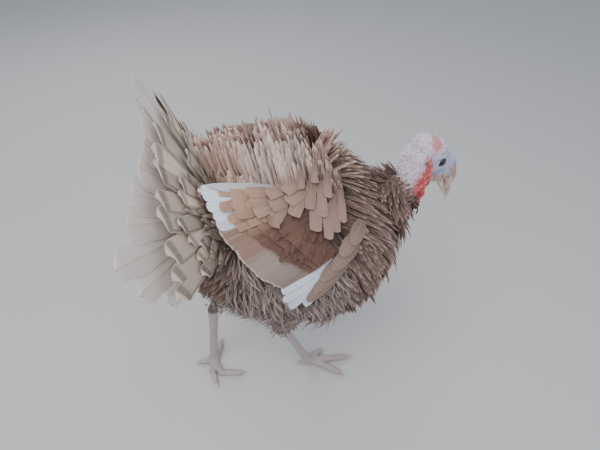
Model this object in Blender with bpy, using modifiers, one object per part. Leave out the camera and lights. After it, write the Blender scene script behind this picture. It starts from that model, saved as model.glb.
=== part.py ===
"""Domestic turkey, a light brown tom at life size, walking with its plumage raised.

Frame: +X is the bird's forward direction, +Y its left side, +Z up, and the floor is Z = 0.
Everything is modelled about a point on the floor below the middle of the trunk, and the last
step moves the whole bird so that the centre of its bounding box stands over the origin.
"""
from math import atan2, cos, exp, hypot, pi, radians, sin

import bmesh
import bpy
from mathutils import Matrix, Vector

GAP = 0.0003                 # clearance between neighbouring pieces

# Trunk: plumage envelope at stations along X, as (x, top, bottom, half width).
TRUNK_STATIONS = (
    (-0.180, 0.510, 0.390, 0.040),
    (-0.166, 0.578, 0.325, 0.088),
    (-0.130, 0.604, 0.274, 0.122),
    (-0.065, 0.615, 0.246, 0.143),
    (0.005, 0.608, 0.240, 0.149),
    (0.060, 0.578, 0.256, 0.145),
    (0.106, 0.540, 0.296, 0.124),
    (0.142, 0.506, 0.350, 0.088),
    (0.160, 0.460, 0.395, 0.040),
)
RIDGE_RISE = 0.07            # share of the half height that the raised back feathers add
RIDGE_SPREAD = 0.6           # radians to each side of the ridge
TRUNK_RINGS = 15
TRUNK_SIDES = 22

# Neck: the feathered ruff, and the bare neck from its collar up to the skull.
RUFF_PATH = ((0.100, 0, 0.462), (0.128, 0, 0.476), (0.150, 0, 0.487), (0.168, 0, 0.496))
RUFF_RADII = (0.070, 0.060, 0.049, 0.040)
NECK_PATH = ((0.1688, 0, 0.4964), (0.180, 0, 0.515), (0.184, 0, 0.536), (0.190, 0, 0.556),
             (0.201, 0, 0.571))
NECK_RADII = (0.028, 0.0265, 0.0255, 0.023, 0.013)
WATTLE_PATH = ((0.192, 0, 0.538), (0.203, 0, 0.524), (0.209, 0, 0.505), (0.209, 0, 0.484),
               (0.199, 0, 0.468), (0.186, 0, 0.459))
WATTLE_RADII = (0.004, 0.008, 0.011, 0.013, 0.012, 0.006)

# Wings: they lie on a shell just outside the trunk, described by x and an arc length that is
# measured up the flank from the shell's widest line.
SHELL_ARC = 0.175
SHELL_FULLNESS = 0.80        # the shell tapers this much more slowly than the trunk along X
SHELL_TOP = 0.955
ELBOW = (-0.030, 0.168)
WRIST = (0.025, 0.078)
SECONDARIES = 12
PRIMARIES = 5
SCALLOP = 0.06               # how far the edge of a layer dips between two feather tips
PRIMARY_LIFT = 0.0030        # lifts of the overlapping layers off the shell
SECONDARY_LIFT = 0.0065
COVERT_LIFT = 0.0100
SCAPULAR_LIFT = 0.0140
SCAPULAR_CROWN = 0.0030
SCAPULAR_X = (0.048, -0.070)
SCAPULAR_ARC = (0.158, 0.092)
SCAPULAR_SLOPE = 0.014

# Tail: rectrices fan out from a point inside the rump, over a surface that folds back like a roof.
TAIL_ROOT = Vector((-0.114, 0.0, 0.473))
TAIL_RAISE = radians(68.4)
TAIL_SWEEP = radians(25)
TAIL_TWIST = radians(6.4)    # the fan leans towards the bird's right
TAIL_CROWN = 0.28            # rounds the fan where its two halves meet
TAIL_HALF_SPREAD = radians(74)
RECTRIX_LENGTHS = {          # from the middle outwards; the right half is uneven from the moult
    "right": (0.262, 0.236, 0.222, 0.224, 0.234, 0.246, 0.277, 0.252, 0.212),
    "left": (0.248, 0.246, 0.242, 0.239, 0.236, 0.234, 0.232, 0.228, 0.218),
}
RECTRIX_WIDTH = 0.046
RECTRIX_THICKNESS = 0.0010
RECTRIX_ARCH = 0.0012        # how far a vane's edges drop below its middle
RECTRIX_STACK = 0.0024       # each feather lies this much below the one towards the middle
RECTRIX_OUTLINE = (          # share of the length, share of the half width
    (0.16, 0.09), (0.45, 0.50), (0.75, 0.90), (0.90, 1.00), (0.97, 0.80), (1.0, 0.42),
)
TAIL_COVERTS = 26            # steps of the scalloped edge
TAIL_COVERT_REACH = 0.180
TAIL_COVERT_LIFT = 0.0045

# Head: its own axes run from the back of the skull to the bill, and up through the forehead.
SKULL_CENTRE = Vector((0.205, 0.0, 0.560))
HEAD_PITCH = radians(-60)
HEAD_SECTIONS = (            # along, half width, top, bottom
    (-0.036, 0.0060, 0.0040, -0.0070),
    (-0.031, 0.0135, 0.0125, -0.0160),
    (-0.017, 0.0195, 0.0190, -0.0220),
    (0.003, 0.0210, 0.0215, -0.0235),
    (0.022, 0.0190, 0.0215, -0.0215),
    (0.040, 0.0145, 0.0165, -0.0180),
    (0.056, 0.0100, 0.0105, -0.0135),
)
EYE_PLACE = (0.0125, 0.0058)
EYE_SPREAD = 0.0140
EYE_RADIUS = 0.0073
BILL_BASE = 0.0564
UPPER_BILL = (               # along, half width, top, bottom
    (BILL_BASE, 0.0094, 0.0098, -0.0016),
    (0.072, 0.0080, 0.0085, -0.0030),
    (0.088, 0.0058, 0.0045, -0.0055),
    (0.100, 0.0034, -0.0030, -0.0100),
    (0.107, 0.0012, -0.0110, -0.0150),
)
LOWER_BILL = (
    (BILL_BASE, 0.0080, -0.0022, -0.0128),
    (0.072, 0.0066, -0.0036, -0.0120),
    (0.086, 0.0042, -0.0062, -0.0112),
    (0.094, 0.0016, -0.0084, -0.0108),
)
SNOOD_PATH = (               # along, side, up: it hangs down the right side of the bill
    (0.012, 0.000, 0.016), (0.022, -0.001, 0.0245), (0.036, -0.003, 0.0225),
    (0.054, -0.006, 0.0165), (0.071, -0.008, 0.0130), (0.084, -0.0085, 0.0080),
)
SNOOD_RADII = (0.0045, 0.0055, 0.0058, 0.0052, 0.0042, 0.0024)

# Legs, as the walking stride holds them: each foot's pad, and its hock.
FOOT_PAD = {"right": Vector((0.019, -0.003, 0.0)), "left": Vector((-0.203, 0.029, 0.0))}
HOCK = {"right": Vector((-0.045, -0.018, 0.178)), "left": Vector((-0.181, 0.036, 0.184))}
THIGH_PATH = {
    "right": ((-0.015, -0.078, 0.340), (-0.030, -0.058, 0.268), (-0.043, -0.028, 0.210),
              (-0.042, -0.018, 0.166)),
    "left": ((-0.070, 0.078, 0.340), (-0.118, 0.064, 0.262), (-0.158, 0.046, 0.214),
             (-0.172, 0.040, 0.196)),
}
THIGH_RADII = {"right": (0.058, 0.044, 0.026, 0.0145), "left": (0.060, 0.045, 0.022, 0.012)}
SHANK_RADIUS = 0.0078
PAD_RADIUS = 0.0135
TOE_RADIUS = 0.0068
CLAW_LENGTH = 0.015
# Toes: where each one bends and where its claw begins, from the middle of the pad.
TOES = {
    "right": {
        "inner": ((0.016, 0.012), (0.029, 0.020)),
        "middle": ((0.046, -0.005), (0.090, -0.003)),
        "outer": ((0.035, -0.023), (0.065, -0.043)),
        "hind": ((-0.012, -0.002), (-0.021, -0.002)),
    },
    "left": {
        "inner": ((-0.003, -0.033), (0.007, -0.060)),
        "middle": ((0.018, -0.038), (0.065, -0.043)),
        "outer": ((0.014, 0.026), (0.018, 0.046)),
        "hind": ((-0.015, -0.002), (-0.030, -0.003)),
    },
}


def clear_scene():
    for obj in list(bpy.data.objects):
        bpy.data.objects.remove(obj, do_unlink=True)


def new_collection(name):
    collection = bpy.data.collections.new(name)
    bpy.context.scene.collection.children.link(collection)
    return collection


clear_scene()
BIRD = new_collection("turkey")
CUTTERS = new_collection("cutters")
STANCE = bpy.data.objects.new("stance", None)
BIRD.objects.link(STANCE)


def finish_of(name, colour, roughness):
    """A plain coloured finish, made once for each name."""
    material = bpy.data.materials.get(name)
    if material is None:
        material = bpy.data.materials.new(name)
        material.use_nodes = True
        shader = material.node_tree.nodes["Principled BSDF"]
        shader.inputs["Base Color"].default_value = (*colour, 1.0)
        shader.inputs["Roughness"].default_value = roughness
        shader.inputs["Metallic"].default_value = 0.0
    return material


def body_plumage():
    return finish_of("body_plumage", (0.33, 0.22, 0.15), 0.80)


def wing_plumage():
    return finish_of("wing_plumage", (0.42, 0.29, 0.20), 0.70)


def white_plumage():
    return finish_of("white_plumage", (0.80, 0.80, 0.80), 0.65)


def tail_plumage():
    return finish_of("tail_plumage", (0.58, 0.48, 0.38), 0.70)


def bare_skin():
    return finish_of("bare_skin", (0.62, 0.42, 0.44), 0.50)


def red_skin():
    return finish_of("red_skin", (0.62, 0.06, 0.05), 0.45)


def leg_scales():
    return finish_of("leg_scales", (0.50, 0.41, 0.38), 0.55)


def horn():
    return finish_of("horn", (0.55, 0.45, 0.38), 0.35)


def eye_surface():
    return finish_of("eye", (0.03, 0.015, 0.01), 0.08)


def new_piece(name, mesh, material):
    """Link a mesh into the bird as one named piece."""
    piece = bpy.data.objects.new(name, mesh)
    piece.parent = STANCE
    BIRD.objects.link(piece)
    mesh.materials.append(material)
    mesh.shade_smooth()
    mesh.set_sharp_from_angle(angle=radians(50))
    return piece


def mesh_of(name, build):
    """A mesh from a function that fills a bmesh, with its faces turned outwards."""
    bm = bmesh.new()
    build(bm)
    bmesh.ops.recalc_face_normals(bm, faces=bm.faces)
    mesh = bpy.data.meshes.new(name)
    bm.to_mesh(mesh)
    bm.free()
    return mesh


def loft(name, rings, material):
    """A closed solid through unlike rings of equally many points, capped at both ends. Its sides
    are triangles, so that a neighbour cut to fit meets the same facets."""
    def build(bm):
        loops = [[bm.verts.new(point) for point in ring] for ring in rings]
        count = len(loops[0])
        for near, far in zip(loops, loops[1:]):
            for i in range(count):
                j = (i + 1) % count
                bm.faces.new((near[i], near[j], far[j]))
                bm.faces.new((near[i], far[j], far[i]))
        bm.faces.new(loops[0])
        bm.faces.new(loops[-1])
    return new_piece(name, mesh_of(name, build), material)


def sheet(name, columns, thickness, material):
    """An open surface through equally long columns of points, made solid by its thickness."""
    def build(bm):
        lines = [[bm.verts.new(point) for point in column] for column in columns]
        for near, far in zip(lines, lines[1:]):
            for i in range(len(near) - 1):
                bm.faces.new((near[i], near[i + 1], far[i + 1], far[i]))
    piece = new_piece(name, mesh_of(name, build), material)
    solid = piece.modifiers.new("thickness", 'SOLIDIFY')
    solid.thickness = thickness
    solid.offset = 0.0
    solid.use_even_offset = False
    return piece


def carve(piece, *neighbours):
    """Cut a piece back so that it stops just short of each neighbour's full form."""
    for neighbour in neighbours:
        shape = neighbour.data.copy()
        bm = bmesh.new()
        bm.from_mesh(shape)
        bm.normal_update()
        shifts = [vert.normal * GAP for vert in bm.verts]
        for vert, shift in zip(bm.verts, shifts):
            vert.co += shift
        bm.to_mesh(shape)
        bm.free()
        cutter = bpy.data.objects.new(f"room_for_{neighbour.name}_in_{piece.name}", shape)
        cutter.parent = STANCE
        cutter.hide_render = True
        cutter.display_type = 'WIRE'
        CUTTERS.objects.link(cutter)
        cut = piece.modifiers.new(f"clear of {neighbour.name}", 'BOOLEAN')
        cut.operation = 'DIFFERENCE'
        cut.solver = 'EXACT'
        cut.object = cutter


def between(table, place):
    """Values at a place along a table of stations, on a smooth curve through its rows."""
    places = [row[0] for row in table]
    place = min(max(place, places[0]), places[-1])
    k = max(i for i in range(len(table) - 1) if places[i] <= place)
    t = (place - places[k]) / (places[k + 1] - places[k])
    rows = [table[min(max(i, 0), len(table) - 1)] for i in (k - 1, k, k + 1, k + 2)]
    values = []
    for p0, p1, p2, p3 in list(zip(*rows))[1:]:
        values.append(0.5 * (2 * p1 + (p2 - p0) * t + (2 * p0 - 5 * p1 + 4 * p2 - p3) * t ** 2
                             + (3 * p1 - p0 - 3 * p2 + p3) * t ** 3))
    return values


def mix(a, b, t):
    return a + (b - a) * t


def tube_rings(path, radii, sides=12, flatten=1.0, floor=None, start=None):
    """Rings square to a path, turned no more than it bends. flatten squeezes them sideways, floor
    keeps them above a level, and start turns the first ring to face another way."""
    points = [Vector(p) for p in path]
    rings = []
    across = None
    for i, point in enumerate(points):
        ahead = points[min(i + 1, len(points) - 1)]
        behind = points[max(i - 1, 0)]
        along = (ahead - behind).normalized() if i or start is None else start
        if across is None:
            across = along.cross(Vector((0, 0, 1)))
            if across.length < 0.2:
                across = along.cross(Vector((1, 0, 0)))
        across = (across - along * across.dot(along)).normalized()
        upward = across.cross(along)
        ring = []
        for k in range(sides):
            angle = 2 * pi * (k + 0.5) / sides
            spot = point + radii[i] * (across * cos(angle) * flatten + upward * sin(angle))
            if floor is not None:
                spot.z = max(spot.z, floor)
            ring.append(spot)
        rings.append(ring)
    return rings


def trunk():
    """Back, flanks, breast, belly and rump, out to the tips of the raised feathers."""
    first, last = TRUNK_STATIONS[0][0], TRUNK_STATIONS[-1][0]
    rings = []
    for i in range(TRUNK_RINGS):
        x = mix(first, last, 0.5 - 0.5 * cos(pi * i / (TRUNK_RINGS - 1)))
        top, bottom, half_width = between(TRUNK_STATIONS, x)
        middle, half_height = (top + bottom) / 2, (top - bottom) / 2
        ring = []
        for k in range(TRUNK_SIDES):
            angle = 2 * pi * k / TRUNK_SIDES
            off_ridge = min(angle, 2 * pi - angle)
            rise = 1.0 - (RIDGE_RISE * (1 - exp(-(off_ridge / RIDGE_SPREAD) ** 2))
                          if cos(angle) > 0 else 0.0)
            ring.append((x, half_width * sin(angle), middle + half_height * cos(angle) * rise))
        rings.append(ring)
    return loft("trunk", rings, body_plumage())


def neck_plumage(body):
    """The ruff of narrow feathers that ends in a collar round the bare neck."""
    rings = tube_rings(RUFF_PATH, RUFF_RADII, sides=16, flatten=0.95)
    ruff = loft("neck_plumage", rings, body_plumage())
    carve(ruff, body)
    return ruff


def head_point(along, side, up):
    """A point of the head from its own axes."""
    forward = Vector((cos(HEAD_PITCH), 0, sin(HEAD_PITCH)))
    dorsal = Vector((-sin(HEAD_PITCH), 0, cos(HEAD_PITCH)))
    return SKULL_CENTRE + forward * along + dorsal * up + Vector((0, side, 0))


def head_rings(sections, sides):
    rings = []
    for along, half_width, top, bottom in sections:
        middle, half_height = (top + bottom) / 2, (top - bottom) / 2
        ring = []
        for k in range(sides):
            angle = 2 * pi * (k + 0.5) / sides
            ring.append(head_point(along, half_width * cos(angle), middle + half_height * sin(angle)))
        rings.append(ring)
    return rings


def ball(name, centre, radius, material):
    def build(bm):
        bmesh.ops.create_uvsphere(bm, u_segments=12, v_segments=8, radius=radius,
                                  matrix=Matrix.Translation(centre) @ Matrix.Rotation(pi / 2, 4, 'X'))
    return new_piece(name, mesh_of(name, build), material)


def head():
    """Skull and face, eyes, bill and snood."""
    skull = loft("head", head_rings(HEAD_SECTIONS, 16), bare_skin())
    along, up = EYE_PLACE
    for side, name in ((-1, "eye_right"), (1, "eye_left")):
        eye = ball(name, head_point(along, side * EYE_SPREAD, up), EYE_RADIUS, eye_surface())
        carve(skull, eye)
    loft("bill_upper", head_rings(UPPER_BILL, 10), horn())
    loft("bill_lower", head_rings(LOWER_BILL, 10), horn())
    path = [head_point(*place) for place in SNOOD_PATH]
    snood = loft("snood", tube_rings(path, SNOOD_RADII, sides=10), red_skin())
    carve(snood, skull)
    return skull


def bare_neck(ruff, skull):
    """The caruncled bare neck and the wattle that hangs down its front."""
    facing = (Vector(RUFF_PATH[-1]) - Vector(RUFF_PATH[-2])).normalized()
    neck = loft("neck", tube_rings(NECK_PATH, NECK_RADII, sides=14, start=facing), bare_skin())
    carve(neck, skull)
    wattle = loft("wattle", tube_rings(WATTLE_PATH, WATTLE_RADII, sides=12, flatten=0.9), red_skin())
    carve(wattle, neck, ruff, skull)


def tail_axes(spread):
    """Direction of a tail feather and the fan's upper normal there, by its angle off the middle."""
    back_up = Vector((-cos(TAIL_RAISE), 0, sin(TAIL_RAISE)))
    over = Vector((sin(TAIL_RAISE), 0, cos(TAIL_RAISE)))
    left = Vector((0, 1, 0))
    turned_left = left * cos(TAIL_TWIST) - over * sin(TAIL_TWIST)
    turned_over = over * cos(TAIL_TWIST) + left * sin(TAIL_TWIST)

    def ray(angle):
        out = back_up * cos(angle) + turned_left * (cos(TAIL_SWEEP) * sin(angle))
        swept = hypot(sin(angle), TAIL_CROWN) - TAIL_CROWN
        return (out - turned_over * (swept * sin(TAIL_SWEEP))).normalized()
    along = ray(spread)
    step = radians(2)
    across = (ray(spread + step) - ray(spread - step)).normalized()
    return along, across, along.cross(across).normalized() * -1


def rectrix(name, spread, length, drop):
    """One tail feather: a thin vane, arched across, with a rounded tip."""
    along, across, normal = tail_axes(spread)
    columns = []
    for side in (-1.0, -0.5, 0.0, 0.5, 1.0):
        column = []
        for reach, breadth in RECTRIX_OUTLINE:
            half = RECTRIX_WIDTH / 2 * breadth
            spot = TAIL_ROOT + along * (length * reach) + across * (half * side)
            column.append(spot - normal * (drop + RECTRIX_ARCH * side * side * breadth))
        columns.append(column)
    return sheet(name, columns, RECTRIX_THICKNESS, tail_plumage())


def tail(body):
    """The spread fan, and the row of large coverts over it."""
    for side, word in ((-1, "right"), (1, "left")):
        lengths = RECTRIX_LENGTHS[word]
        for i, length in enumerate(lengths):
            spread = side * TAIL_HALF_SPREAD * (i + 0.5) / (len(lengths) - 0.5)
            drop = RECTRIX_STACK * (i + (1 if side > 0 else 0))
            feather = rectrix(f"rectrix_{word}_{i + 1}", spread, length, drop)
            carve(feather, body)
    columns = []
    for k in range(TAIL_COVERTS + 1):
        spread = TAIL_HALF_SPREAD * 1.03 * (2 * k / TAIL_COVERTS - 1)
        along, _, normal = tail_axes(spread)
        tip = TAIL_COVERT_REACH * (1.0 - SCALLOP * (k % 2))
        columns.append([TAIL_ROOT + along * (tip * reach) + normal * TAIL_COVERT_LIFT
                        for reach in (0.30, 0.65, 1.0)])
    coverts = sheet("tail_coverts", columns, 0.0020, tail_plumage())
    carve(coverts, body)


def on_shell(side, x, arc, lift):
    """A point of the wing's shell on one side of the bird."""
    angle = arc / SHELL_ARC
    top, bottom, half_width = between(TRUNK_STATIONS, x * SHELL_FULLNESS)
    rise = (top - bottom) / 2 * (SHELL_TOP if angle > 0 else 1.0) + lift
    return Vector((x, side * (half_width + lift) * cos(angle), (top + bottom) / 2 + rise * sin(angle)))


def secondary(t, reach):
    """A point on the secondary at t, from 0 at the elbow to 1 at the wrist."""
    heading = radians(160 + 72 * t - 20 * t * t)
    length = (0.133 - 0.012 * t - 0.033 * t * t) * reach
    return (mix(ELBOW[0], WRIST[0], t) + length * cos(heading),
            mix(ELBOW[1], WRIST[1], t) + length * sin(heading))


def primary(t, reach):
    """A point on the primary at t, from the wing's inner to its outer edge."""
    heading = radians(221 + 16 * t)
    length = (0.098 + 0.012 * sin(pi * t)) * reach
    return (WRIST[0] + 0.010 * t + length * cos(heading),
            WRIST[1] - 0.006 * t + length * sin(heading))


def wing_layer(name, side, place, count, first, last, lift, thickness, material):
    """One layer of flight feathers or coverts, with a scalloped edge. last is a function of t."""
    columns = []
    for k in range(2 * count + 1):
        t = k / (2 * count)
        end = last(t) * (1.0 - SCALLOP * ((k + 1) % 2))
        columns.append([on_shell(side, *place(t, mix(first, end, reach)), lift)
                        for reach in (0.0, 0.33, 0.67, 1.0)])
    return sheet(name, columns, thickness, material)


def wing(side, word, body):
    """A lowered, half folded wing on one flank."""
    layers = [
        wing_layer(f"primaries_{word}", side, primary, PRIMARIES, 0.10, lambda t: 1.0,
                   PRIMARY_LIFT, 0.0020, white_plumage()),
        wing_layer(f"secondaries_{word}", side, secondary, SECONDARIES, 0.06, lambda t: 1.0,
                   SECONDARY_LIFT, 0.0025, wing_plumage()),
        wing_layer(f"wing_coverts_{word}", side, secondary, SECONDARIES, -0.10,
                   lambda t: 0.80 - 0.30 * t, COVERT_LIFT, 0.0025, wing_plumage()),
    ]
    columns = []
    for k in range(9):
        across = k / 8
        column = []
        for reach in (0.0, 0.25, 0.5, 0.75, 1.0):
            x = mix(*SCAPULAR_X, reach)
            arc = mix(*SCAPULAR_ARC, across) + SCAPULAR_SLOPE * (reach - 0.5)
            crown = SCAPULAR_CROWN * sin(pi * across) * sin(pi * min(0.5, reach))
            column.append(on_shell(side, x, arc, SCAPULAR_LIFT + crown))
        columns.append(column)
    layers.append(sheet(f"scapulars_{word}", columns, 0.0030, wing_plumage()))
    for layer in layers:
        carve(layer, body)


def leg(word, body):
    """Feathered thigh, scaled shank with its pad, and four toes with claws."""
    thigh = loft(f"thigh_{word}", tube_rings(THIGH_PATH[word], THIGH_RADII[word], sides=14),
                 body_plumage())
    carve(thigh, body)
    pad, hock = FOOT_PAD[word], HOCK[word]
    ankle = pad + (hock - pad) * 0.12
    path = [hock + (hock - pad) * 0.05, hock, mix(hock, ankle, 0.10), mix(hock, ankle, 0.5), ankle]
    radii = [0.0075, 0.0105, 0.0092, SHANK_RADIUS, 0.0090]
    rings = tube_rings(path, radii, sides=12, flatten=0.9)
    for height, radius in ((0.009, PAD_RADIUS), (0.003, PAD_RADIUS), (0.0, PAD_RADIUS - 0.003)):
        around = [atan2(p.y - ankle.y, p.x - ankle.x) for p in rings[4]]
        rings.append([Vector((pad.x + radius * cos(a), pad.y + radius * sin(a), height))
                      for a in around])
    shank = loft(f"shank_{word}", rings, leg_scales())
    carve(shank, thigh)
    in_place = [shank]
    for toe_name, (bend, end) in TOES[word].items():
        in_place.append(toe(f"{toe_name}_toe_{word}", pad, bend, end, in_place))


def toe(name, pad, bend, end, in_place):
    """A padded toe that lies on the floor, and the claw at its end. Returns the toe."""
    bend = pad + Vector((*bend, 0))
    end = pad + Vector((*end, 0))
    stops = [pad, mix(pad, bend, 0.6), bend, mix(bend, end, 0.5), end]
    radii = [TOE_RADIUS * k for k in (1.05, 1.10, 0.95, 0.95, 0.70)]
    path = [stop + Vector((0, 0, radius * 0.92)) for stop, radius in zip(stops, radii)]
    piece = loft(name, tube_rings(path, radii, sides=10, floor=0.0), leg_scales())
    carve(piece, *in_place)
    way = (end - bend).normalized()
    claw_path = [end + way * CLAW_LENGTH * k + Vector((0, 0, height))
                 for k, height in ((-0.1, 0.0048), (0.5, 0.0046), (1.0, 0.0022))]
    claw = loft(name.replace("toe", "claw"),
                tube_rings(claw_path, (0.0032, 0.0024, 0.0007), sides=8), horn())
    carve(claw, piece)
    return piece


def stand_over_origin():
    """Move the bird so that the middle of its bounding box stands over the origin."""
    bpy.context.view_layer.update()
    graph = bpy.context.evaluated_depsgraph_get()
    low, high = Vector((9, 9, 9)), Vector((-9, -9, -9))
    for piece in BIRD.objects:
        if piece.type != 'MESH':
            continue
        shape = bpy.data.meshes.new_from_object(piece.evaluated_get(graph))
        for vert in shape.vertices:
            low = Vector(map(min, low, vert.co))
            high = Vector(map(max, high, vert.co))
        bpy.data.meshes.remove(shape)
    STANCE.location = (-(low.x + high.x) / 2, -(low.y + high.y) / 2, 0)
    bpy.context.view_layer.update()


TRUNK = trunk()
RUFF = neck_plumage(TRUNK)
SKULL = head()
bare_neck(RUFF, SKULL)
tail(TRUNK)
for SIDE, WORD in ((-1, "right"), (1, "left")):
    wing(SIDE, WORD, TRUNK)
    leg(WORD, TRUNK)
stand_over_origin()
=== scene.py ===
from math import cos, hypot, pi, radians, sin

import bmesh
import bpy
import numpy as np
from mathutils import Matrix, Vector, noise
from mathutils.bvhtree import BVHTree


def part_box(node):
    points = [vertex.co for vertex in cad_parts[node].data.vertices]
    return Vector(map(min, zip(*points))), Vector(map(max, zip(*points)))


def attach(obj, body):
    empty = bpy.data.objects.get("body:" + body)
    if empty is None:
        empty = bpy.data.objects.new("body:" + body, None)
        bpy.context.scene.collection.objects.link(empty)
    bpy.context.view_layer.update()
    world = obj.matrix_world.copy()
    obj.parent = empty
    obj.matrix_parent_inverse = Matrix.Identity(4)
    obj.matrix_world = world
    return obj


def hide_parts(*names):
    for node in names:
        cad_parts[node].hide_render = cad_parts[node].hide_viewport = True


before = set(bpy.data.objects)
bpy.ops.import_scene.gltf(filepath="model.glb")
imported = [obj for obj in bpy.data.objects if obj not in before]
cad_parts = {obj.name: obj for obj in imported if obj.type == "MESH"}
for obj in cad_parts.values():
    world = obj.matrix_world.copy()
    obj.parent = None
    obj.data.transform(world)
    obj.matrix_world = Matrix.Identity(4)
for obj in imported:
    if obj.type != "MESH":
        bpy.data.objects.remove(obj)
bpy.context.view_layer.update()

# ---- Stance -------------------------------------------------------------------------------------
# The bird is drawn about a point on the floor below the middle of its trunk, facing +X with its
# left side at +Y. The middle of the right eye is the mark that places the drawing in the frame.
RIGHT_EYE = Vector((0.21627, -0.0140, 0.55208))
eye_low, eye_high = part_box("eye_right")
SHIFT = (eye_low + eye_high) / 2 - RIGHT_EYE
shift = np.array(SHIFT)

# ---- Skin ---------------------------------------------------------------------------------------
# One hide over the whole bird: bare and caruncled on head and neck, scaled on shanks and toes, and
# thin and downy where feathers grow. Each flesh form is drawn in by its coat's depth, then all are
# grown together, relaxed, and given their folds, lids, granules and scales.
COAT_DEPTH, BARE_SWELL = 0.026, 0.0005
LIMBS = (                        # flesh under the ruff and the thighs: places and radii
    ((0.080, 0.000, 0.440, 0.052), (0.135, 0.000, 0.476, 0.040), (0.171, 0.000, 0.500, 0.029)),
    ((-0.005, -0.055, 0.360, 0.052), (-0.032, -0.046, 0.276, 0.027), (-0.0425, -0.024, 0.204, 0.0150),
     (-0.045, -0.018, 0.166, 0.0100)),
    ((-0.065, 0.065, 0.360, 0.052), (-0.120, 0.060, 0.270, 0.030), (-0.162, 0.044, 0.212, 0.0160),
     (-0.180, 0.036, 0.184, 0.0105)),
)
TOES = [(toe, side) for toe in ("inner", "middle", "outer", "hind") for side in ("right", "left")]
COATED = ["trunk", "neck_plumage", "thigh_right", "thigh_left"]
BARE = ["neck", "head", "wattle", "snood", "shank_right", "shank_left"]
BARE += [f"{toe}_toe_{side}" for toe, side in TOES]
SKIN_GRAIN = 0.0018
COARSE_BEHIND, COARSE_ABOVE = 0.150, 0.215     # where the coat hides the skin
COARSE_SHARE = 0.35                            # how many of its faces stay there
FINE_BEFORE, FINE_BELOW = 0.165, 0.19          # where it is bare
SMALL_GRANULE, LARGE_GRANULE, SCUTE, FOLD = 0.0036, 0.0078, 0.0048, 0.008
SMALL_HEIGHT, LARGE_HEIGHT, SCUTE_HEIGHT, FACE_HEIGHT = 0.0010, 0.0015, 0.0007, 0.00025
THROAT_FOLDS, FACE_FOLDS = 0.0030, 0.0008
COLLAR_END, COLLAR_WAY = np.array([0.168, 0, 0.496]), np.array([0.894, 0, 0.447])
# Heights, with how far the throat is drawn in there, and how far forward its red begins.
THROAT_DRAWN = ((0.44, 0.450, 0.490, 0.506, 0.520), (0.0, 0.016, 0.015, 0.007, 0.0))
THROAT_EDGE = ((0.455, 0.470, 0.488, 0.506, 0.524, 0.540, 0.553),
               (0.153, 0.161, 0.1685, 0.1730, 0.1770, 0.1850, 0.1930))
CROWN_DROP = 0.008
SKULL = np.array([0.205, 0.0, 0.560]) + shift
HEAD_PITCH = radians(-60)
HEAD_FORWARD = np.array([cos(HEAD_PITCH), 0, sin(HEAD_PITCH)])
HEAD_UP = np.array([-sin(HEAD_PITCH), 0, cos(HEAD_PITCH)])
# Places on the side of the head, forward and up from the middle of the skull.
EAR, NOSTRIL, SNOOD_ROOT = (-0.004, -0.016), (0.0445, -0.0015), (-0.0195, 0.0100)
RELIEF = (                       # height, middle and reach
    (-0.0014, (0.030, 0.004), (0.007, 0.006)),         # hollow before the eye
    (-0.0022, EAR, (0.0045, 0.0028)),                  # fold of the ear
    (0.0010, (0.020, -0.010), (0.014, 0.005)),         # cheek
    (-0.0012, (0.050, -0.0005), (0.013, 0.0012)),      # corner of the mouth
)
BROW_HEIGHT, BROW_START, BROW_LEAN = 0.0018, (0.0039, 0.0015), (0.855, 0.52)
BROW_ABOVE, BROW_WIDTH, CREASE_WIDTH = 0.0036, 0.0028, 0.0010
EYE_RADIUS, LID, LID_LIP, SLIT_DEPTH = 0.0073, 0.0007, 0.0006, 0.0022
LID_REACH = (0.0080, 0.0115)     # the lids lie on the eye up to here, and leave it by there
EYE_PLACE = {side: SKULL + HEAD_FORWARD * 0.0125 + HEAD_UP * 0.0058 + [0, y, 0]
             for side, y in (("right", -0.0140), ("left", 0.0140))}
SLIT_LONG, SLIT_HIGH, SLIT_LEAN = 0.0053, 0.0018, (0.97, 0.24)


def unit(v):
    return v / np.maximum(np.linalg.norm(v, axis=-1, keepdims=True), 1e-9)


def ramp(value, start, end):
    """0 before start, 1 after end and a smooth rise between, for numbers and arrays alike."""
    t = np.clip((value - start) / (end - start), 0, 1)
    return t * t * (3 - 2 * t)


def placed(piece):
    """Put a new object in the scene."""
    bpy.context.scene.collection.objects.link(piece)
    return piece


def grown_together(name, parts, limbs, grain):
    """One closed surface round copies of the named nodes, each moved out by its own amount, and
    round limbs that taper from place to place."""
    bm = bmesh.new()
    for limb in limbs:
        for (*start, wide), (*end, narrow) in zip(limb, limb[1:]):
            start, end = Vector(start) + SHIFT, Vector(end) + SHIFT
            way = end - start
            turn = way.to_track_quat('Z', 'Y').to_matrix().to_4x4()
            bmesh.ops.create_cone(bm, cap_ends=True, segments=24, radius1=wide, radius2=narrow,
                                  depth=way.length, matrix=Matrix.Translation((start + end) / 2) @ turn)
            bmesh.ops.create_icosphere(bm, subdivisions=2, radius=narrow,
                                       matrix=Matrix.Translation(end))
    for node, swell in parts.items():
        start = len(bm.verts)
        bm.from_mesh(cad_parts[node].data)
        bm.verts.ensure_lookup_table()
        bmesh.ops.remove_doubles(bm, verts=bm.verts[start:], dist=1e-6)
        bm.normal_update()
        bm.verts.ensure_lookup_table()
        moved = [(v, v.normal * swell) for v in bm.verts[start:]]
        for v, step in moved:
            v.co += step
    mesh = bpy.data.meshes.new(name)
    bm.to_mesh(mesh)
    bm.free()
    piece = placed(bpy.data.objects.new(name, mesh))
    regrow = piece.modifiers.new("grow", 'REMESH')
    regrow.mode, regrow.voxel_size = 'VOXEL', grain
    relax = piece.modifiers.new("relax", 'SMOOTH')
    relax.factor, relax.iterations = 0.5, 5
    return piece


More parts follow.
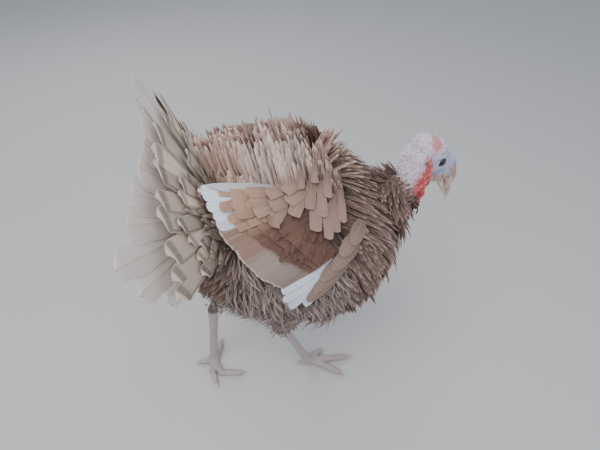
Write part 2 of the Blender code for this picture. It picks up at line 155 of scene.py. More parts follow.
def settled(piece):
    """Turn a piece's modifiers into its mesh."""
    graph = bpy.context.evaluated_depsgraph_get()
    mesh = bpy.data.meshes.new_from_object(piece.evaluated_get(graph))
    piece.modifiers.clear()
    old, piece.data = piece.data, mesh
    bpy.data.meshes.remove(old)
    return piece


def vectors_of(items, field):
    """One row of three for each item of a mesh."""
    out = np.empty(len(items) * 3)
    items.foreach_get(field, out)
    return out.reshape(-1, 3)


def points_of(mesh):
    return vectors_of(mesh.vertices, "co")


def normals_of(mesh):
    return vectors_of(mesh.vertex_normals, "vector")


def record_on(mesh, name, values):
    """Keep one number or one colour for each vertex, for the material to read."""
    values = np.asarray(values, np.float32)
    kind = 'FLOAT' if values.ndim == 1 else 'FLOAT_VECTOR'
    layer = mesh.attributes.new(name, kind, 'POINT')
    layer.data.foreach_set("value" if kind == 'FLOAT' else "vector", values.ravel())


swell = {"trunk": -COAT_DEPTH, **{node: BARE_SWELL for node in BARE}}
skin = settled(grown_together("skin", swell, LIMBS, SKIN_GRAIN))

# Under the coat a coarse hide is enough.
own = points_of(skin.data) - shift
feathered = (own[:, 0] < COARSE_BEHIND) & (own[:, 2] > COARSE_ABOVE)
downy = skin.vertex_groups.new(name="downy")
downy.add([int(i) for i in np.flatnonzero(feathered)], 1.0, 'REPLACE')
thin = skin.modifiers.new("thin", 'DECIMATE')
thin.vertex_group, thin.ratio = "downy", COARSE_SHARE
settled(skin)
skin.vertex_groups.clear()

# The head and the legs are drawn finer, for their granules and scales.
bm = bmesh.new()
bm.from_mesh(skin.data)
middles = [(f, f.calc_center_median() - SHIFT) for f in bm.faces]
edges = list({e for f, middle in middles if middle.x > FINE_BEFORE or middle.z < FINE_BELOW
              for e in f.edges})
bmesh.ops.subdivide_edges(bm, edges=edges, cuts=1, use_grid_fill=True, smooth=0.3)
bmesh.ops.triangulate(bm, faces=[f for f in bm.faces if len(f.verts) > 4])
bm.to_mesh(skin.data)
bm.free()


def lumps(points, size, sharp=1.0):
    """Rounded granules packed side by side: 1 on each top, 0 in the cracks between them."""
    found = np.array([noise.voronoi(Vector(q / size), distance_metric='DISTANCE')[0][:2]
                      for q in points])
    return np.clip((found[:, 1] - found[:, 0]) * 1.6, 0, 1) ** sharp


def waves(points, size):
    return np.array([noise.noise(Vector(q / size)) for q in points])


def mound(a, b, middle, reach, power=2):
    """1 at a place given by two coordinates, falling to 0 past its reach."""
    return np.exp(-((a - middle[0]) / reach[0]) ** power - ((b - middle[1]) / reach[1]) ** power)


def brow_fold(fore, up):
    """A ridge over the eye with a crease below it."""
    off_fore, off_up = fore - BROW_START[0], up - BROW_START[1]
    across = off_fore * BROW_LEAN[0] - off_up * BROW_LEAN[1]
    along = off_fore * BROW_LEAN[1] + off_up * BROW_LEAN[0]
    fold = np.exp(-((across + BROW_ABOVE) / BROW_WIDTH) ** 2)
    fold = fold - 0.8 * np.exp(-(across / CREASE_WIDTH) ** 2)
    return fold * ramp(along, -0.004, 0.002) * ramp(-along, -0.023, -0.017)


p, n = points_of(skin.data), normals_of(skin.data)
own = p - shift
p[:, 0] -= np.interp(own[:, 2], *THROAT_DRAWN) * ramp(own[:, 0], 0.168, 0.215)
p[:, 2] -= CROWN_DROP * ramp(own[:, 2], 0.572, 0.612)
own = p - shift
x, y, z = own.T
fore, aside, up = (p - SKULL) @ HEAD_FORWARD, (p - SKULL)[:, 1], (p - SKULL) @ HEAD_UP

# The bare head's parts: a blue face, a red throat, and a white crown with the nape.
past_collar = (own - COLLAR_END) @ COLLAR_WAY
on_head = ramp(past_collar, -0.002, 0.002) * ramp(x, 0.12, 0.13) * ramp(z, 0.44, 0.45)
before_ear = ramp(up + 0.35 * fore, -0.0085, -0.0060)
under_crown = ramp(1.27 * fore - up, -0.0165, -0.0130)
jaw = ramp(x + 0.26 * (z - 0.5387), 0.2020, 0.2050) * ramp(z, 0.503, 0.508) * ramp(-z, -0.545, -0.535)
face = on_head * np.maximum(before_ear * under_crown, jaw)
past_edge = x - np.interp(z, *THROAT_EDGE)
throat = on_head * ramp(past_edge, -0.0020, 0.0040) * (1 - ramp(z, 0.548, 0.556)) * (1 - face)
crown = on_head * (1 - throat) * (1 - face)
flush = on_head * ramp(past_edge, -0.016, 0.010) * (1 - ramp(z, 0.552, 0.580))
snood_top = mound(fore, up, SNOOD_ROOT, (0.0095, 0.0085), 4) * on_head

# Crown and nape are covered in small granules, the throat in large ones over deep folds.
bare = on_head > 0
small, large, folds, plates = np.zeros((4, len(p)))
small[bare] = lumps(p[bare], SMALL_GRANULE)
large[bare] = lumps(p[bare] * [1, 1, 0.8], LARGE_GRANULE, 0.8)
folds[bare] = waves(p[bare] * [1.0, 1.0, 0.30], FOLD)
push = crown * SMALL_HEIGHT * small + throat * LARGE_HEIGHT * large + face * FACE_HEIGHT * small
push += (throat * THROAT_FOLDS + face * FACE_FOLDS) * folds
relief = BROW_HEIGHT * brow_fold(fore, up)
for height, middle, reach in RELIEF:
    relief = relief + height * mound(fore, up, middle, reach)
for side in (-1, 1):
    push += ramp(side * aside, 0.003, 0.010) * on_head * relief

# Scutes cover shanks and toes. The soles stand flat on the floor.
leg = ramp(-z, -0.186, -0.176)
plates[leg > 0] = lumps(p[leg > 0] * [1, 1, 0.75], SCUTE, 0.6)
push += leg * SCUTE_HEIGHT * (plates - 0.6) * ramp(z, 0.001, 0.004)
p = p + n * push[:, None]
p[:, 2] = np.maximum(p[:, 2], 0)

# Lids close round each eyeball, and leave an almond slit open.
slit = np.zeros(len(p))
for side, centre in EYE_PLACE.items():
    off = p - centre
    above, ahead = off @ HEAD_UP, off @ HEAD_FORWARD
    a = above * SLIT_LEAN[0] - ahead * SLIT_LEAN[1]
    b = ahead * SLIT_LEAN[0] + above * SLIT_LEAN[1]
    outward = off[:, 1] * (1 if side == "left" else -1)
    near = np.linalg.norm(off, axis=1) < 0.016
    wrap = (1 - ramp(np.hypot(a, b), *LID_REACH)) * (outward > 0)
    reach = np.hypot(a / SLIT_LONG, b / SLIT_HIGH)
    open_eye = 1 - ramp(reach, 0.92, 1.08)
    rim = np.exp(-((reach - 1.22) / 0.20) ** 2)
    shell = EYE_RADIUS + (LID + LID_LIP * rim) * (1 - open_eye) - SLIT_DEPTH * open_eye
    p = p + (centre + unit(off) * shell[:, None] - p) * (wrap * near)[:, None]
    slit = np.maximum(slit, wrap * np.exp(-((reach - 1.05) / 0.16) ** 2))
skin.data.vertices.foreach_set("co", p.ravel())
skin.data.update()
skin.data.shade_smooth()
cere = ramp(fore - 0.4 * up, 0.034, 0.041) * ramp(-up, -0.012, -0.006) * ramp(up, -0.022, -0.016)
for name, values in {
    "crown": crown, "throat": throat, "face": face, "leg": leg, "lid": slit,
    "granule": small * crown + large * throat,
    "ear": mound(fore, up, EAR, (0.006, 0.004)) * on_head,
    "nostril": mound(fore, up, NOSTRIL, (0.0042, 0.0016)) * on_head,
    "snood_base": snood_top * (0.6 + 0.4 * small),
    "flush": flush * (1 - face),
    "cere": cere * on_head,
    "snood": ramp(up - 0.010 + 0.10 * fore, 0.004, 0.010) * ramp(fore, 0.030, 0.045),
}.items():
    record_on(skin.data, name, values)


class Wire:
    """A socket of a material that can be used in sums and products."""

    def __init__(self, socket):
        self.socket = socket
        self.tree = socket.id_data

    def node(self, kind, inputs, output=0, **settings):
        """Any other node of the same tree, with its settings first and then its sockets."""
        made = self.tree.nodes.new(kind)
        for key, value in settings.items():
            setattr(made, key, value)
        for key, value in inputs.items():
            if isinstance(value, Wire):
                self.tree.links.new(value.socket, made.inputs[key])
            else:
                made.inputs[key].default_value = value
        return Wire(made.outputs[output])

    def maths(self, operation, *others):
        return self.node('ShaderNodeMath', dict(enumerate((self, *others))), operation=operation)

    def __add__(self, other):
        return self.maths('ADD', other)

    def __sub__(self, other):
        return self.maths('SUBTRACT', other)

    def __rsub__(self, other):
        return self.node('ShaderNodeMath', {0: other, 1: self}, operation='SUBTRACT')

    def __mul__(self, other):
        return self.maths('MULTIPLY', other)

    __radd__ = __add__
    __rmul__ = __mul__

    def rise(self, start, end):
        """0 at start and 1 at end, with soft shoulders."""
        return self.node('ShaderNodeMapRange', {0: self, 1: start, 2: end, 3: 0.0, 4: 1.0},
                         interpolation_type='SMOOTHSTEP')

    def tone(self, dark, light):
        """A colour between two, by this value."""
        return self.node('ShaderNodeMix', {0: self, 6: dark, 7: light}, output=2, data_type='RGBA')

    def shaded(self, amount):
        """This colour multiplied by a grey value."""
        return self.node('ShaderNodeVectorMath', {0: self, 3: amount}, operation='SCALE')


def finish(name, roughness, specular=0.5):
    """A new material, its shader, and the first wire of its tree: object coordinates."""
    material = bpy.data.materials.new(name)
    material.use_nodes = True
    tree = material.node_tree
    shader = tree.nodes["Principled BSDF"]
    shader.inputs["Roughness"].default_value = roughness
    shader.inputs["Specular IOR Level"].default_value = specular
    return material, shader, Wire(tree.nodes.new('ShaderNodeTexCoord').outputs["Object"])


def kept(spot, name):
    """The number that record_on kept."""
    return spot.node('ShaderNodeAttribute', {}, output=2, attribute_name=name)


def kept_colour(spot, name):
    return spot.node('ShaderNodeAttribute', {}, output=0, attribute_name=name)


def grain(spot, size):
    return spot.node('ShaderNodeTexNoise', {"Vector": spot, "Scale": 1 / size, "Detail": 4.0,
                                            "Roughness": 0.55})


def fit(shader, **wires):
    for name, wire in wires.items():
        shader.id_data.links.new(wire.socket, shader.inputs[name.replace("_", " ")])


def roughened(spot, height, depth, strength):
    """A surface normal from a height, given as a fraction of depth in metres."""
    return spot.node('ShaderNodeBump', {"Height": height, "Distance": depth, "Strength": strength})


def paint(r, g, b):
    """A colour from its 0 to 255 values, made linear."""
    return tuple(((c / 255 + 0.055) / 1.055) ** 2.4 if c > 10 else c / 3295 for c in (r, g, b))


def rgba(*colour):
    return (*paint(*colour), 1.0)


hide, hide_shader, spot = finish("hide", 0.5)
mottle, broad, granule = grain(spot, 0.004), grain(spot, 0.018), kept(spot, "granule")
blotch = broad.rise(0.35, 0.65)
blue = blotch.tone(rgba(152, 164, 204), rgba(196, 190, 214))
white = granule.rise(0.0, 0.7).tone(rgba(204, 176, 196), rgba(240, 238, 250))
# The red is blotched in its own tones and darker in the cracks between the granules: painted shade
# there.
red = (granule * 0.6 + broad * 0.8).rise(0.3, 0.9).tone(rgba(172, 52, 62), rgba(232, 122, 120))
blush = (kept(spot, "flush") + mottle * 0.35 - 0.17).rise(0.05, 0.85)
colour = mottle.tone(rgba(84, 67, 60), rgba(118, 98, 88))                # under the down
for cover, above in (
        (kept(spot, "face"), blue), (kept(spot, "crown").rise(0.2, 0.6), white), (blush, red),
        ((kept(spot, "throat") * 0.6).rise(0.1, 0.5), red),
        (kept(spot, "snood_base"), blotch.tone(rgba(186, 88, 60), rgba(228, 104, 116))),
        (kept(spot, "snood"), mottle.tone(rgba(150, 116, 114), rgba(190, 156, 156))),
        # The ear's opening is painted dark red as the shade in its hollow.
        (kept(spot, "ear"), rgba(118, 60, 60)),
        (kept(spot, "cere"), mottle.tone(rgba(186, 152, 146), rgba(216, 194, 182))),
        # The nostril is painted dark as the shade in its opening.
        (kept(spot, "nostril"), rgba(70, 52, 50)), (kept(spot, "lid"), rgba(74, 66, 92)),
        (kept(spot, "leg"), broad.tone(rgba(164, 150, 154), rgba(198, 184, 188)))):
    colour = cover.tone(colour, above)
fit(hide_shader, Base_Color=colour, Roughness=mottle * 0.25 + 0.38,
    Normal=roughened(spot, grain(spot, 0.0012) + granule, 0.0004, 0.6))
skin.data.materials.append(hide)
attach(skin, "root")
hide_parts(*COATED, *BARE)

# ---- Eyes ---------------------------------------------------------------------------------------
# Wet dark eyeballs with a brown iris round a black pupil, set in the sockets under the lids. The
# cornea stands out a little over the iris.
PUPIL, IRIS = 0.36, 0.72         # parts of the eyeball's radius
CORNEA_BULGE = 0.05

eye_finish, eye_shader, spot = finish("wet_eye", 0.12)
from_axis = kept(spot, "from_axis")
iris = grain(spot, 0.0006).tone(rgba(22, 15, 20), rgba(40, 28, 30))
colour = from_axis.rise(PUPIL - 0.03, PUPIL + 0.03).tone(rgba(6, 5, 6), iris)
fit(eye_shader, Base_Color=from_axis.rise(IRIS - 0.06, IRIS + 0.04).tone(colour, rgba(40, 30, 30)))
eye_shader.inputs["Coat Weight"].default_value = 0.5
eye_shader.inputs["Coat Roughness"].default_value = 0.05
for side, centre in EYE_PLACE.items():
    bm = bmesh.new()
    bmesh.ops.create_uvsphere(bm, u_segments=32, v_segments=20, radius=EYE_RADIUS)
    mesh = bpy.data.meshes.new(f"eyeball_{side}")
    bm.to_mesh(mesh)
    bm.free()
    mesh.transform(Matrix.Rotation(pi / 2, 4, 'X'))
    q = points_of(mesh)
    from_middle = np.hypot(q[:, 0], q[:, 2]) / EYE_RADIUS
    record_on(mesh, "from_axis", from_middle)
    q *= 1 + CORNEA_BULGE * (1 - ramp(from_middle, 0.3, 0.75))[:, None]
    mesh.vertices.foreach_set("co", (q + centre).ravel())
    mesh.shade_smooth()
    mesh.materials.append(eye_finish)
    eyeball = placed(bpy.data.objects.new(f"eyeball_{side}", mesh))
    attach(eyeball, "root")
    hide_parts(f"eye_{side}")

# ---- Bill and claws -----------------------------------------------------------------------------
# Smooth horn, paler at the tips than where it grows from the skin. The carried solids are rounded
# with two more subdivisions. The lower bill is pale all over.
HORN_PIECES = ["bill_upper", "bill_lower", *(f"{toe}_claw_{side}" for toe, side in TOES)]

horn, horn_shader, spot = finish("horn", 0.35)
streak = grain(spot, 0.002)
fit(horn_shader,
    Base_Color=kept(spot, "tip").tone(streak.tone(rgba(174, 146, 140), rgba(206, 178, 170)),
                                      streak.tone(rgba(206, 196, 182), rgba(232, 224, 210))),
    Roughness=streak * 0.2 + 0.28, Normal=roughened(spot, streak, 0.0002, 0.4))
for node in HORN_PIECES:
    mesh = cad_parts[node].data.copy()
    bm = bmesh.new()
    bm.from_mesh(mesh)
    bmesh.ops.remove_doubles(bm, verts=bm.verts, dist=1e-6)
    bm.to_mesh(mesh)
    bm.free()
    piece = placed(bpy.data.objects.new(f"horn_{node}", mesh))
    rounded = piece.modifiers.new("round", 'SUBSURF')
    rounded.levels = rounded.render_levels = 2
    settled(piece)
    q = points_of(piece.data)
    if "claw" in node:
        from_heel = np.linalg.norm(q - q[np.argmax(q[:, 2])], axis=1)
        share = from_heel / from_heel.max()
    else:
        share = ramp((q - SKULL) @ HEAD_FORWARD, 0.075, 0.108)
        share = np.maximum(share, 0.85 if node == "bill_lower" else 0.0)
    record_on(piece.data, "tip", share)
    piece.data.shade_smooth()
    piece.data.materials.clear()
    piece.data.materials.append(horn)
    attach(piece, "root")
    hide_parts(node)

# ---- Bristles -----------------------------------------------------------------------------------
# Short white hair-like feathers stand all over the crown and the nape, each a narrow blade that
# droops backwards. Like all the feathers they are mesh, with a patch each on the coat's map.
BRISTLES = 1800
BRISTLE_TALL, BRISTLE_HALF_WIDTH = 0.0042, 0.00042
BRISTLE_LEAN, BRISTLE_DROOP = np.array([-0.55, 0.0, 0.10]), np.array([-0.25, 0.0, -0.15])
PATCH = 0.003                    # how wide a feather lies on the coat's map
rng = np.random.default_rng(7)


def jitter(count, amount):
    return rng.normal(0, amount, count)


def stops(rows):
    """Shares of a vane's length at which its rows lie, closer together towards the tip."""
    return 1 - (1 - np.linspace(0, 1, rows)) ** 1.5


def vane_piece(name, grid, tint, fringe, patch, material, slot):
    """One mesh of many vanes. grid holds each vane's points by row and column, tint and fringe
    its colours, and patch the place of its root on the map of the skin."""
    count, rows, cols, _ = grid.shape
    index = np.arange(count * rows * cols).reshape(count, rows, cols)
    quads = np.stack([index[:, :-1, :-1], index[:, :-1, 1:], index[:, 1:, 1:], index[:, 1:, :-1]], -1)
    quads = quads.reshape(-1, 4)
    mesh = bpy.data.meshes.new(name)
    mesh.vertices.add(index.size)
    mesh.vertices.foreach_set("co", grid.astype(np.float32).ravel())
    mesh.loops.add(quads.size)
    mesh.loops.foreach_set("vertex_index", quads.ravel().astype(np.int32))
    mesh.polygons.add(len(quads))
    mesh.polygons.foreach_set("loop_start", np.arange(0, quads.size, 4, dtype=np.int32))
    mesh.update(calc_edges=True)
    along, across = np.meshgrid(stops(rows), np.linspace(0, 1, cols), indexing="ij")
    on_vane = np.broadcast_to(np.stack([across, along], -1), (count, rows, cols, 2))
    on_coat = patch[:, None, None] + PATCH * (on_vane - 0.5)
    for map_name, values in (("OFBake", on_coat), ("vane", on_vane)):
        layer = mesh.uv_layers.new(name=map_name, do_init=False)
        layer.uv.foreach_set("vector", values.reshape(-1, 2)[quads.ravel()].astype(np.float32).ravel())
    for label, values in (("tint", tint), ("fringe", fringe)):
        record_on(mesh, label, np.repeat(values, rows * cols, axis=0))
    mesh.shade_smooth()
    mesh.materials.append(material)
    piece = placed(bpy.data.objects.new(name, mesh))
    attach(piece, "root")
    return piece


nape = mound(x, z, (0.158, 0.583), (0.014, 0.020))
chance = crown * (1 - 0.96 * snood_top) * (1 - 0.7 * flush) * (0.5 + nape)
at = rng.choice(len(p), BRISTLES, p=chance / chance.sum())
lean = unit(normals_of(skin.data)[at] + BRISTLE_LEAN + rng.normal(0, 0.35, (BRISTLES, 3)))
flat = unit(np.cross(lean, rng.normal(0, 1, (BRISTLES, 3))))
tall = (BRISTLE_TALL + BRISTLE_TALL * nape[at]) * rng.uniform(0.7, 1.3, BRISTLES)
s = np.linspace(0, 1, 4)[:, None]
stem = p[at][:, None] + (lean[:, None] * s + BRISTLE_DROOP * s ** 2) * tall[:, None, None]
sideways = flat[:, None] * (BRISTLE_HALF_WIDTH * (1 - 0.75 * s))
bristle_look, bristle_shader, spot = finish("bristle", 0.6, 0.3)
fit(bristle_shader,
    Base_Color=grain(spot, 0.003).rise(0.3, 0.7).tone(rgba(226, 222, 236), rgba(252, 252, 255)))
plain = np.full((BRISTLES, 3), 0.8)
vane_piece("crown_bristles", np.stack([stem - sideways, stem + sideways], 2), plain, plain,
           np.stack([0.94 + 0.05 * rng.random(BRISTLES), 0.5 + y[at] * 4], 1), bristle_look,
           "bare_skin")

# ---- Tail ---------------------------------------------------------------------------------------
# Eighteen stiff tail feathers fan out from the rump, pale cream-grey with lighter tips, over a
# surface that folds back like a roof. Each is its own vane with a shaft down its middle, and its
# barbs part here and there, so its edge is ragged towards the tip.
TAIL_ROOT = np.array([-0.114, 0.0, 0.473]) + shift
TAIL_RAISE, TAIL_SWEEP, TAIL_TWIST = radians(68.4), radians(25), radians(6.4)
TAIL_CROWN = 0.28
TAIL_HALF_SPREAD = radians(74)
TAIL_LENGTHS = {
    "right": (0.262, 0.236, 0.222, 0.224, 0.234, 0.246, 0.277, 0.252, 0.212),
    "left": (0.248, 0.246, 0.242, 0.239, 0.236, 0.234, 0.232, 0.228, 0.218),
}
TAIL_WIDTH = 0.046
TAIL_STACK = 0.0024              # how far each feather lies below the last
TAIL_OUTLINE = np.array([(0.0, 0.07), (0.16, 0.09), (0.45, 0.50), (0.75, 0.90), (0.90, 1.00),
                         (0.955, 0.93), (0.985, 0.66), (1.0, 0.22)])
TAIL_CUPPING, SHAFT_RIDGE = 0.0016, 0.0008
TAIL_TEETH, TAIL_BOW = 0.012, 0.010            # parts of a feather's length
TAIL_PARTING, LEAST_VANE, MOST_VANE = 0.035, -0.12, 0.04   # parts of its half width


def tail_axes(spread):
    """Direction of a tail feather, across it, and the fan's upper normal, by its angle."""
    back_up = np.array([-cos(TAIL_RAISE), 0, sin(TAIL_RAISE)])
    over = np.array([sin(TAIL_RAISE), 0, cos(TAIL_RAISE)])
    left = np.array([0, 1, 0])
    turned_left = left * cos(TAIL_TWIST) - over * sin(TAIL_TWIST)
    turned_over = over * cos(TAIL_TWIST) + left * sin(TAIL_TWIST)

    def ray(angle):
        out = back_up * cos(angle) + turned_left * (cos(TAIL_SWEEP) * sin(angle))
        swept = hypot(sin(angle), TAIL_CROWN) - TAIL_CROWN
        return unit(out - turned_over * (swept * sin(TAIL_SWEEP)))
    along = ray(spread)
    across = unit(ray(spread + radians(2)) - ray(spread - radians(2)))
    return along, across, unit(np.cross(across, along))


def feather_finish(name, barbs, edge, fade, roughness, dark=0.42, band_and_undershadow=0.0, shaft_light=0.35):
    """A vane: barbs that slant off a shaft, a paler rim and tip, and darker towards the root, partly for
    its own dark down and partly as painted shade where the vanes overlap. Where asked for, a darker
    line runs just inside the rim: across the end the feather's own dark stripe, along its lower side
    painted shadow under the lifted edge."""
    material, shader, spot = finish(name, roughness, 0.25)
    on_vane = spot.node('ShaderNodeUVMap', {}, uv_map="vane")
    x = spot.node('ShaderNodeSeparateXYZ', {0: on_vane})
    along = spot.node('ShaderNodeSeparateXYZ', {0: on_vane}, output=1)
    off = (x - 0.5).maths('ABSOLUTE') * 2.0
    speckle = grain(spot, 0.0035)
    slant = ((along * barbs + off * (barbs * 0.12) + speckle * 0.6) * (2 * pi)).maths('SINE')
    shaft = off.rise(0.10, 0.03)
    outer = off.rise(1 - edge, 1.0)
    rim = outer.maths('MAXIMUM', along.rise(1 - edge, 1.0))
    # Darker towards the root: partly the feather's own dark down, partly painted shade where the vanes
    # overlap.
    shade = along.rise(0.0, fade) * dark + speckle * 0.30 + slant * 0.045 + (0.87 - dark)
    if band_and_undershadow:
        # Along the lower side only, this dark stripe is painted shadow under the covert's lifted edge;
        # across the end it is the feather's own dark stripe.
        inner = off.rise(1 - 2.6 * edge, 1 - 1.2 * edge) * x.rise(0.5, 0.6)
        inner = inner.maths('MAXIMUM', along.rise(0.82, 0.88)) * (1 - along.rise(0.93, 0.96))
        shade = shade * (1 - inner * band_and_undershadow)
        rim = (outer * 0.6).maths('MAXIMUM', along.rise(0.93, 0.97))
    rimmed = rim.tone(kept_colour(spot, "tint").shaded(shade), kept_colour(spot, "fringe"))
    fit(shader, Base_Color=(shaft * shaft_light).tone(rimmed, rgba(205, 188, 170)),
        Normal=roughened(spot, slant * 0.5 + shaft * 1.5, 0.0003, 0.5))
    return material


def dye(*colour):
    return np.array(paint(*colour))


def mixed(share, first, second):
    share = np.reshape(share, (-1, 1))
    return first * (1 - share) + second * share


TAIL_SHADE, TAIL_PALE, TAIL_TIP = dye(222, 210, 204), dye(238, 231, 230), dye(240, 232, 226)
tail_finish = feather_finish("tail_vane", barbs=60, edge=0.09, fade=0.75, roughness=0.6, dark=0.30)
s = 0.10 + 0.90 * stops(48)[:, None]
c = np.linspace(-1, 1, 15)[None, :]
half = np.interp(s, TAIL_OUTLINE[:, 0], TAIL_OUTLINE[:, 1]) * TAIL_WIDTH / 2
cupped = TAIL_CUPPING * c ** 2 * half / (TAIL_WIDTH / 2) - SHAFT_RIDGE * np.exp(-(c / 0.12) ** 2)
for side, word in ((-1, "right"), (1, "left")):
    for i, length in enumerate(TAIL_LENGTHS[word]):
        spread = side * TAIL_HALF_SPREAD * (i + 0.5) / (len(TAIL_LENGTHS[word]) - 0.5)
        along, across, normal = tail_axes(spread)
        drop = TAIL_STACK * (i + (1 if side > 0 else 0))
        ragged = np.cumsum(rng.normal(0, TAIL_PARTING, s.shape), axis=0)
        ragged = (ragged - ragged.mean()) * ramp(s, 0.3, 0.7)
        edge = 1 + np.clip(ragged, LEAST_VANE, MOST_VANE) * np.abs(c) ** 3
        tooth = TAIL_TEETH * rng.uniform(-1, 0.4, c.shape) * ramp(s, 0.90, 1.0)
        reach = s + tooth - TAIL_TEETH * c ** 2 * ramp(s, 0.9, 1.0)
        bow = TAIL_BOW * (s - 0.3) ** 2 * rng.uniform(-0.6, 1.0)
        grid = (TAIL_ROOT + along * (length * reach)[..., None]
                + across * (half * c * edge + bow * length)[..., None]
                - normal * (drop + cupped)[..., None])
        tone = mixed(rng.uniform(0.2, 1.0), TAIL_SHADE, TAIL_PALE)
        feather = vane_piece(f"tail_feather_{word}_{i + 1}", grid[None], tone, TAIL_TIP[None],
                             np.array([[0.02 + 0.05 * i, 0.02 if side < 0 else 0.06]]), tail_finish,
                             "tail_plumage")
        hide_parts(f"rectrix_{word}_{i + 1}")

# ---- Tail coverts -------------------------------------------------------------------------------
# Broad tan coverts with cream edges lie over the fan's base, with rows of narrow ones before them
# where the fan meets the rump. Inside each covert's rim a dark line runs across its end, the
# feather's own dark stripe, and along its lower side, painted shadow under that lifted edge. Their
# ends are cut off aslant, and the corner nearer the middle of the fan reaches farther.
COVERT_ROWS = (                  # reach, length, width, lift, how many, how far they stand open
    (0.218, 0.125, 0.033, 0.007, 19, 0.09), (0.166, 0.086, 0.022, 0.011, 26, 0.15),
    (0.138, 0.058, 0.013, 0.016, 48, 0.26), (0.112, 0.048, 0.010, 0.021, 60, 0.36))
COVERT_GRID = (16, 9)            # rows and columns of each
COVERT_SPREAD, COVERT_SLANT = TAIL_HALF_SPREAD * 1.06, 0.20
FAR_SHORTER, FAR_SIDE = 0.24, (0.6, 1.25)      # by how much, and from which angle to which
NARROW = 0.02
TAN, CREAM = dye(214, 194, 181), dye(240, 226, 212)


def outline(s, blunt, round_from, base=0.35):
    """Half width of a vane at each share of its length, as a part of its widest."""
    swelling = base + (1 - base) * ramp(s, 0.0, 0.4)
    narrowing = 1 - ramp(s, 0.5, 1.0) * (1 - blunt)
    past = np.clip((s - round_from) / (1 - round_from), 0, 1)
    return swelling * narrowing * np.sqrt(1 - 0.94 * past ** 2)


def grow(root, rise, lie, face, length, width, arch=0.15, rows=7, cols=3, blunt=0.3,
         round_from=0.86, ragged=0.07):
    """Points of many vanes by row and column. Each leaves its root along rise and bends over to
    lie, with its upper side towards face."""
    s = stops(rows)
    turn = (s ** 1.3)[None, :, None]
    way = unit(rise[:, None] * (1 - turn) + lie[:, None] * turn)
    step = np.diff(s)[None, :, None] * (way[:, 1:] + way[:, :-1]) / 2
    run = np.concatenate([np.zeros_like(way[:, :1]), np.cumsum(step, 1)], 1)
    line = root[:, None] + run * np.reshape(length, (-1, 1, 1))
    across = unit(np.cross(way, np.broadcast_to(face[:, None], way.shape)))
    over = np.cross(across, way)
    half = np.reshape(width, (-1, 1)) / 2 * outline(s[None], np.reshape(blunt, (-1, 1)), round_from)
    c = np.linspace(-1, 1, cols)
    uneven = 1 + rng.normal(0, ragged, (len(root), rows, cols)) * np.abs(c)
    drop = arch * half[..., None] * c ** 2
    return (line[:, :, None] + across[:, :, None] * (half[..., None] * c * uneven)[..., None]
            - over[:, :, None] * drop[..., None])


def gathered(parts):
    """The same items of all parts, each joined into one array."""
    return (np.concatenate(items) for items in zip(*parts))


parts = []
for reach, length, width, lift, count, open_up in COVERT_ROWS:
    spreads = ((np.arange(count) + 0.5) / count * 2 - 1) * COVERT_SPREAD + jitter(count, 0.014)
    along, across, normal = np.array([tail_axes(a) for a in spreads]).transpose(1, 0, 2)
    ends = reach * (1 + jitter(count, 0.045)) * (1 - FAR_SHORTER * ramp(spreads, *FAR_SIDE))
    root = TAIL_ROOT + along * (ends - length)[:, None] + normal * (lift * 0.6)
    aim = unit(along + jitter(count, 0.05)[:, None] * across)
    parts.append((root, unit(aim + normal * open_up), unit(aim + normal * (open_up - 0.12)),
                  unit(normal - across * (np.sign(spreads) * 0.06 + jitter(count, 0.06))[:, None]),
                  length * (1 + jitter(count, 0.04)), width * (1 + jitter(count, 0.1)),
                  spreads, aim * (COVERT_SLANT * width)))
root, rise, lie, face, length, width, spreads, skew = gathered(parts)
tint = mixed(ramp(-np.abs(spreads), -0.6, -0.3), TAN, CREAM * 0.92)
tint = mixed((width < NARROW) * 0.6, tint * (1 + jitter(len(root), 0.16))[:, None], TAN * 0.62)
patch = np.stack([0.12 + 0.02 * rng.random(len(root)), 0.5 + spreads / 4], 1)
rows, cols = COVERT_GRID
grid = grow(root, rise, lie, face, length, width, rows=rows, cols=cols, arch=0.08,
            blunt=np.where(width > NARROW, 0.95, 0.55), round_from=0.90, ragged=0.03)
# The right fan's columns are turned round, so that the painted shadow lies along each covert's lower
# edge on both sides.
grid = np.where((spreads < 0)[:, None, None, None], grid[:, :, ::-1], grid)
slope = ramp(stops(rows), 0.5, 1.0)[:, None] * np.linspace(1, -1, cols)
grid += skew[:, None, None] * slope[None, ..., None]
covert_finish = feather_finish("tail_covert_vane", barbs=26, edge=0.15, fade=0.5, roughness=0.65,
                               dark=0.22, band_and_undershadow=0.48)
coverts = vane_piece("tail_covert_feathers", grid, tint, mixed(width < NARROW, CREAM, TAN * 0.9),
                     patch, covert_finish, "tail_plumage")
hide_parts("tail_coverts")

# ---- Wings --------------------------------------------------------------------------------------
# Each wing hangs half folded against the flank: greyish-buff secondaries whose inner ones are
# white, white primaries at the wrist, and rows of coverts from tan above to rufous below. Feathers
# are laid out on a chart of the flank, by x and the arc up from the trunk's middle.
TRUNK_TABLE = np.array([         # x, top, bottom and half width
    (-0.180, 0.510, 0.390, 0.040), (-0.166, 0.578, 0.325, 0.088), (-0.130, 0.604, 0.274, 0.122),
    (-0.065, 0.615, 0.246, 0.143), (0.005, 0.608, 0.240, 0.149), (0.060, 0.578, 0.256, 0.145),
    (0.106, 0.540, 0.296, 0.124), (0.142, 0.506, 0.350, 0.088), (0.160, 0.460, 0.395, 0.040)])
SHELL_ARC, SHELL_FULLNESS, SHELL_TOP = 0.175, 0.80, 0.955
FAR_WING_ARC = 0.92              # the left wing hangs a little lower
ELBOW, WRIST = np.array([-0.040, 0.168]), np.array([0.025, 0.078])
